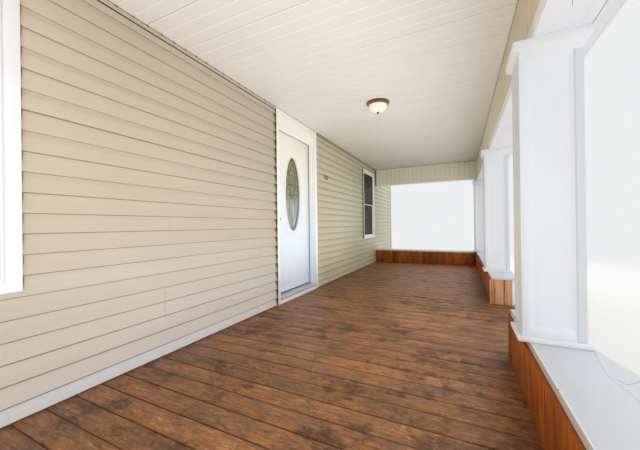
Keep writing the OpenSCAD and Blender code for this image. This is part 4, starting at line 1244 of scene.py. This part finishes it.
class PORCH_OT_door(PorchStep, bpy.types.Operator):
    """Finish the door, its surround and its hardware"""
    bl_idname = "porch.door"
    bl_label = "Door"

    def build(self, sizes, colours):
        # The bluish foot colours of the slab and the casing are painted cool light low down.
        slab = material_of("slab_paint", trim_paint, colours.door, foot=srgb(226, 238, 249))
        casing = material_of("casing_paint", trim_paint, srgb(250, 247, 240), foot=srgb(236, 243, 252))
        white_copies(casing, door_casing=0.003, door_jamb=0.002)
        white_copies(material_of("trim_paint", trim_paint, colours.trim), door_riser=0.002)
        eased_copy("door_slab", "door_paint", slab, 0.0015, body="door")
        eased_copy("door_oval_frame", "door_paint", slab, 0.0022, 3, body="door")
        dress_node("door_glass", material_of("oval_glass", obscured_glass, colours.door_glass))
        dress_node("door_lockset", material_of("lock_nickel", brushed_metal, colours.nickel))
        for node in ("door_hinges", "jamb_hinges"):
            dress_node(node, material_of("hinge_steel", brushed_metal, colours.steel))
        sill = material_of("sill_aluminium", dull_aluminium, colours.sill)
        eased_copy("door_sill", "sill_metal", sill, 0.002)


class PORCH_OT_lead_lines(PorchStep, bpy.types.Operator):
    """Lay the lead lines on the oval glass of the door, outside and inside"""
    bl_idname = "porch.lead_lines"
    bl_label = "Lead lines"

    def build(self, sizes, colours):
        lead = material_of("lead", plain_dark, colours.lead)
        radius = sizes.came / 2
        middle, half = (GLASS_LOW + GLASS_HIGH) / 2, (GLASS_HIGH - GLASS_LOW) / 2
        upper, lower = middle.z + half.z * 0.36, middle.z - half.z * 0.34
        upper_high, lower_high, diamond, inset, inset_high = 0.19, 0.16, 0.06, 0.03, 0.045
        shapes = (("rim_line", middle.z, half.x - radius, half.z - radius, 64),
                  ("inner_oval", middle.z, half.x - inset, half.z - inset_high, 64),
                  ("upper_oval", upper, 0.085, upper_high, 40), ("upper_diamond", upper, 0.045, 0.10, 4),
                  ("lower_oval", lower, 0.07, lower_high, 40),
                  ("middle_diamond", middle.z, diamond, diamond, 4))
        uprights = ((GLASS_LOW.z + inset_high, lower - lower_high), (lower + lower_high, middle.z - diamond),
                    (middle.z + diamond, upper - upper_high), (upper + upper_high, GLASS_HIGH.z - inset_high))
        lines = []
        for face in (GLASS_LOW.y, GLASS_HIGH.y):
            for shape, z, wide, high, corners in shapes:
                lines.append(lead_line(shape, (middle.x, face, z), wide, high, corners, radius))
            boxes = [((middle.x - radius, face - radius, low), (middle.x + radius, face + radius, high))
                     for low, high in uprights]
            boxes += [ordered((middle.x + way * diamond, face - radius, middle.z - radius),
                              (middle.x + way * (half.x - inset), face + radius, middle.z + radius))
                      for way in (-1, 1)]
            lines.append(strips("bars", boxes, 0.001))
        finish_piece(join(lines, "lead_lines"), "door_glass", lead, body="door")


class PORCH_OT_door_seals(PorchStep, bpy.types.Operator):
    """Fit the rubber seals on the door's stops and the sweep on its foot"""
    bl_idname = "porch.door_seals"
    bl_label = "Door seals"

    def build(self, sizes, colours):
        rubber = material_of("seal_rubber", plain_dark, colours.seal)
        left, right = places_of("door_jamb", 0)[2:4]
        top, foot = places_of("door_jamb", 2)[1], DOOR_LOW.z
        thick, off, eased = 0.0025, 0.001, 0.001
        back = DOOR_LOW.y - off
        front = back - sizes.seal_width
        seals = [((left, front, foot), (left + thick, back, top)),
                 ((right - thick, front, foot), (right, back, top)),
                 ((left, front, top - thick), (right, back, top))]
        finish_piece(strips("door_seals", seals, eased), "door_paint", rubber)
        clear, sweep_thick, sweep_low, sweep_high = 0.007, 0.003, 0.0005, sizes.seal_width + 0.006
        sweep = [((left + clear, DOOR_LOW.y - sweep_thick, foot + sweep_low),
                  (right - clear, DOOR_LOW.y, foot + sweep_high))]
        finish_piece(strips("door_sweep", sweep, eased), "door_paint", rubber, body="door")


class PORCH_OT_house_number(PorchStep, bpy.types.Operator):
    """Hang plain bronze digits on the siding beyond the door"""
    bl_idname = "porch.house_number"
    bl_label = "House number"

    def build(self, sizes, colours):
        clear_selection()
        bpy.ops.object.text_add(rotation=(math.pi / 2, 0, 0))
        text = bpy.context.object.data
        text.body = "123"
        text.extrude, text.size, text.resolution_u, text.space_character = 0.002, 0.1, 4, 1.15
        bpy.ops.object.convert(target="MESH")
        digits = settle(bpy.context.object)
        low, high = corners_of(digits)
        scale, sunk = sizes.digit_height / (high.z - low.z), 0.001
        digits.data.transform(Matrix.Translation((sizes.number_x, SIDING_FACE - sunk, sizes.number_z))
                              @ Matrix.Diagonal((scale, 1, scale, 1))
                              @ Matrix.Translation((low + high) / -2))
        digits.name = "house_number"
        finish_piece(digits, "lamp_metal", material_of("number_bronze", plain_dark, colours.bronze))


class PORCH_OT_windows(PorchStep, bpy.types.Operator):
    """Finish the windows' casings, frames, sashes and dark glass"""
    bl_idname = "porch.windows"
    bl_label = "Windows"

    def build(self, sizes, colours):
        white_copies(material_of("trim_paint", trim_paint, colours.trim), window_casings=0.003,
                     window_frames=0.0015, window_sashes=0.0015)
        dress_node("window_panes", material_of("pane_glass", window_pane, colours.window_glass))


class PORCH_OT_shingles(PorchStep, bpy.types.Operator):
    """Shingle the roof in rows of tabs over its sheathing, with metal along its edges"""
    bl_idname = "porch.shingles"
    bl_label = "Shingles"

    def build(self, sizes, colours):
        board = material_of("roof_sheathing", sheathing_board, colours.lumber)
        edge, bed_clear = 0.001, 0.0015
        tops = [corner.co.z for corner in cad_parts["roof_covering"].data.vertices
                if corner.co.y < ROOF_LOW.y + edge]
        low, top = min(tops), max(tops)
        rise = (ROOF_HIGH.z - top) / (ROOF_HIGH.y - ROOF_LOW.y)
        cover = 2 * sizes.shingle_thickness + bed_clear
        deck = merged_copy("roof_covering", "roof_deck")
        shift_corners(deck, lambda place: place.z - rise * (place.y - ROOF_LOW.y) > (low + top) / 2,
                      (0, 0, -cover))
        finish_piece(ease(deck, 0.001, 1), "shingles", board, "roof_covering")
        self.lay_rows(sizes, colours, rise, top - cover, edge)
        self.add_metal(colours, rise, low, top)

    def lay_rows(self, sizes, colours, rise, bed, edge):
        """Rows of tabs from the eave to the wall, each row half a tab on from the one below it."""
        rng = random.Random(31)
        tab, step, thick = sizes.shingle_tab, sizes.shingle_exposure, sizes.shingle_thickness
        long, gap, narrowest, raised = step + sizes.shingle_lap, 0.004, 0.05, thick * 1.05
        model = block("tab", (0, 0, 0), (tab - gap, long, thick))
        ease(shift_corners(model, lambda place: place.y < long / 2, (0, 0, raised)), 0.0012, 1)
        slope = math.atan(rise)
        lie = Matrix.Translation((0, ROOF_LOW.y, bed)) @ Matrix.Rotation(slope, 4, "X")
        reach = (ROOF_HIGH.y - ROOF_LOW.y) / math.cos(slope)
        tabs = []
        for row in range(math.ceil(reach / step)):
            start = row * step
            deep = min(1.0, (reach - start) / long)
            x = ROOF_LOW.x + edge - (tab / 2 if row % 2 else 0)
            while x < ROOF_HIGH.x - edge:
                left = max(x, ROOF_LOW.x + edge)
                right = min(x + tab - gap, ROOF_HIGH.x - edge)
                tone = rng.random()
                if right - left > narrowest:
                    size = Matrix.Diagonal(((right - left) / (tab - gap), deep, 1, 1))
                    place = Matrix.Translation((left, start, 0))
                    tabs.append(give_tone(own_copy(model, lie @ place @ size), tone))
                x += tab
        bpy.data.objects.remove(model)
        finish_piece(join(tabs, "shingle_tabs"), "shingles",
                     material_of("shingle_grit", shingle_grit, colours.shingle))

    def add_metal(self, colours, rise, eave_low, eave_top):
        """Drip edges along the eave and the rakes, and a flashing against the wall."""
        half, front, back, thin = ROOF_HIGH.x, ROOF_LOW.y, ROOF_HIGH.y, 0.0012
        low, high, kick, beside = eave_low - 0.002, eave_top - 0.008, 0.005, 0.001
        pieces = [shift_corners(block("drip_edge", (-half, front - thin, low), (half, front, high)),
                                lambda place: place.z < low + beside, (0, -kick, 0))]
        for start, end in mirrored([((half, front - thin, low), (half + thin, back, high))]):
            pieces.append(shift_corners(block("rake_edge", start, end), lambda place: place.y > 0,
                                        (0, 0, rise * (back - front))))
        apron, upstand, clear, sheet, tucked, hair = 0.08, 0.05, 0.002, 0.0015, 0.001, 0.0003
        level = ROOF_HIGH.z - rise * apron
        pieces.append(shift_corners(
            block("flashing", (-half, back - apron, level), (half, back - clear, level + sheet)),
            lambda place: place.y > back - apron / 2, (0, 0, rise * (apron - clear))))
        pieces.append(block("flashing", (-half, back - clear, ROOF_HIGH.z - tucked),
                            (half, back - hair, ROOF_HIGH.z + upstand)))
        finish_piece(ease(join(pieces, "roof_metal"), 0.0004, 1), "hinge_metal",
                     material_of("flashing_metal", dull_aluminium, colours.flashing))


class PORCH_OT_structure(PorchStep, bpy.types.Operator):
    """Finish the walls, framing, foundations, ceiling and lamp"""
    bl_idname = "porch.structure"
    bl_label = "Walls and framing"

    def build(self, sizes, colours):
        for node in ("wall_near", "wall_far", "wall_over_door"):
            dress_node(node, material_of("wall_back", sheathing_board, colours.sheathing))
        darker, lighter = 0.6, 1.2
        lumber = (tuple(value * darker for value in colours.lumber), colours.lumber,
                  tuple(min(1, value * lighter) for value in colours.lumber))
        for node, name, along in (("deck_joists", "lumber_long", "X"), ("rafters", "lumber_across", "Y")):
            dress_node(node, material_of(name, stained_wood, *lumber, along=along, gloss=0.65))
        rim = material_of("rim_stain", stained_wood, colours.deck_dark, colours.deck_middle,
                          colours.deck_light, along="X", gloss=0.5)
        eased_copy("deck_rim", "deck_wood", rim, 0.003)
        concrete = material_of("cast_concrete", cast_concrete, colours.concrete)
        for node in ("house_foundation", "foundation_front", "foundation_cross"):
            dress_node(node, concrete)
        eased_copy("front_steps", "concrete", concrete, 0.012, 3)
        # Painted light and shade: the ceiling's pale ribs are a highlight and it darkens towards the far end;
        # the facing's dark ribs and reeds and its darkening towards the near end are shade, and its nearest
        # tint is light.
        dress_node("ceiling", material_of("ceiling_vinyl", ribbed_vinyl, colours.ceiling, colours.rib,
                                          sizes.rib_pitch, sizes.rib_shift))
        dress_node("beam_facing", material_of(
            "facing_vinyl", ribbed_vinyl, colours.facing, colours.siding_line, sizes.rib_pitch, ribs=0.2,
            seam=0.1, reeds=2, corner=FACING_HIGH.x - 0.0125, fade=(2.0, -0.8), faded=(0.75, 0.70, 0.63),
            nearest=(1.32, 1.16, 1.28)))
        dress_node("lamp_ring", material_of("lamp_bronze", lamp_ring_metal, colours.bronze))
        dress_node("lamp_bowl", material_of("bowl_glass", lit_glass, colours.lamp_glass))


class PORCH_OT_stage(bpy.types.Operator):
    """Set the studio floor, the soft light and the camera"""
    bl_idname = "porch.stage"
    bl_label = "Stage"

    def execute(self, context):
        scene, stage = context.scene, context.scene.porch_stage
        clear_selection()
        bpy.ops.mesh.primitive_plane_add(size=120)
        floor = bpy.context.object
        floor.name = "studio_floor"
        paint(floor, material_of("studio_floor", studio_plain, stage.floor, stage.backdrop))
        self.light_world(scene, stage)
        room_y = (FACING_LOW.y + SIDING_FACE) / 2
        for lamp in (
                ("soft_yard", (-1.0, -12.0, 2.4), (0.0, 0.5, 1.5), (14, 2.0), stage.yard_lamp),
                ("soft_roof", (0.0, -3.5, 9.0), (0.0, -0.5, 3.0), (14, 6), stage.roof_lamp),
                ("soft_near_end", (-12.0, -4.0, 3.0), (0.0, 0.0, 1.5), (6, 5), stage.end_lamp * 0.4),
                ("soft_far_end", (12.0, -2.0, 3.5), (0.0, 0.3, 1.5), (6, 5), stage.end_lamp),
                ("fill_front", (0.0, -0.7, 1.35), (0.0, 5.0, 1.35), (7.6, 0.9), stage.fill * 3.4),
                ("fill_up", (-1.1, room_y, 0.72), (-1.1, room_y, 5.0), (6.0, 1.5), stage.fill * 4.0),
                ("fill_end", (-3.95, room_y, 1.6), (5.0, room_y, 1.6), (1.9, 1.2), stage.fill)):
            self.add_lamp(*lamp)
        self.add_camera(scene, stage)
        scene.view_settings.view_transform = "Standard"
        return {"FINISHED"}

    def light_world(self, scene, stage):
        """Even light from all round, and the pale backdrop wherever it is seen, mirrored or passed."""
        scene.world = bpy.data.worlds.new("studio")
        scene.world.use_nodes = True
        tree = scene.world.node_tree
        rays = tree.nodes.new("ShaderNodeLightPath")
        seen = rays.outputs["Is Camera Ray"]
        for name in ("Is Glossy Ray", "Is Transmission Ray"):
            either = tree.nodes.new("ShaderNodeMath")
            either.operation = "MAXIMUM"
            tree.links.new(seen, either.inputs[0])
            tree.links.new(rays.outputs[name], either.inputs[1])
            seen = either.outputs[0]
        mix = tree.nodes.new("ShaderNodeMixShader")
        tree.links.new(seen, mix.inputs[0])
        for socket, colour, strength in ((1, (1, 1, 1), stage.sky), (2, stage.backdrop, 1)):
            glow = tree.nodes.new("ShaderNodeBackground")
            glow.inputs[0].default_value = (*colour, 1)
            glow.inputs[1].default_value = strength
            tree.links.new(glow.outputs[0], mix.inputs[socket])
        tree.links.new(mix.outputs[0], tree.nodes["World Output"].inputs[0])

    def add_lamp(self, name, place, target, size, power):
        """A large soft lamp that faces a point, and isn't seen itself."""
        lamp = bpy.data.lights.new(name, "AREA")
        lamp.shape = "RECTANGLE"
        lamp.size, lamp.size_y = size
        lamp.energy = power
        holder = bpy.data.objects.new(name, lamp)
        bpy.context.scene.collection.objects.link(holder)
        holder.location = place
        holder.rotation_euler = (Vector(target) - Vector(place)).to_track_quat("-Z", "Y").to_euler()
        holder.visible_camera = False
        holder.visible_glossy = False

    def add_camera(self, scene, stage):
        """The camera stands in the near half of the porch and looks along it."""
        heading = Matrix.Rotation(stage.camera_turn, 3, "Z") @ Matrix.Rotation(-stage.camera_tilt, 3, "Y")
        forward = heading @ Vector((1, 0, 0))
        level_right = heading @ Vector((0, -1, 0))
        level_up = heading @ Vector((0, 0, 1))
        roll, sensor_wide, nearest_seen = stage.camera_roll, 36, 0.02
        right = level_right * math.cos(roll) + level_up * math.sin(roll)
        up = level_up * math.cos(roll) - level_right * math.sin(roll)
        camera = bpy.data.objects.new("camera", bpy.data.cameras.new("camera"))
        scene.collection.objects.link(camera)
        camera.data.lens = stage.lens
        camera.data.sensor_width = sensor_wide
        camera.data.clip_start = nearest_seen
        camera.matrix_world = Matrix.Translation(stage.camera_place) @ Matrix(
            (right, up, -forward)).transposed().to_4x4()
        scene.camera = camera


OPERATORS = (
    PORCH_OT_stage, PORCH_OT_structure, PORCH_OT_siding, PORCH_OT_edge_channels,
    PORCH_OT_door, PORCH_OT_lead_lines, PORCH_OT_door_seals, PORCH_OT_house_number,
    PORCH_OT_windows, PORCH_OT_deck_boards, PORCH_OT_deck_nails, PORCH_OT_knee_planks,
    PORCH_OT_caps, PORCH_OT_columns, PORCH_OT_beams, PORCH_OT_shingles,
)


class PORCH_PT_panel(bpy.types.Panel):
    """Lists the porch's pieces"""
    bl_label = "Front porch"
    bl_idname = "PORCH_PT_panel"
    bl_space_type = "VIEW_3D"
    bl_region_type = "UI"
    bl_category = "Porch"

    def draw(self, context):
        for operator in OPERATORS:
            self.layout.operator(operator.bl_idname)
        for group in (context.scene.porch_sizes, context.scene.porch_colours, context.scene.porch_stage):
            box = self.layout.box()
            for name in group.__annotations__:
                box.prop(group, name)


CLASSES = (PorchColours, PorchSizes, PorchStage, *OPERATORS, PORCH_PT_panel)


def register():
    """Registers the classes and hangs the settings on the scene."""
    for one in CLASSES:
        bpy.utils.register_class(one)
    bpy.types.Scene.porch_colours = bpy.props.PointerProperty(type=PorchColours)
    bpy.types.Scene.porch_sizes = bpy.props.PointerProperty(type=PorchSizes)
    bpy.types.Scene.porch_stage = bpy.props.PointerProperty(type=PorchStage)


def unregister():
    """Takes the settings and the classes away again."""
    for name in ("porch_colours", "porch_sizes", "porch_stage"):
        delattr(bpy.types.Scene, name)
    for one in reversed(CLASSES):
        bpy.utils.unregister_class(one)


def main():
    """Makes the porch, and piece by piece."""
    register()
    for operator in OPERATORS:
        group, name = operator.bl_idname.split(".")
        getattr(getattr(bpy.ops, group), name)()


if __name__ == "__main__":
    main()
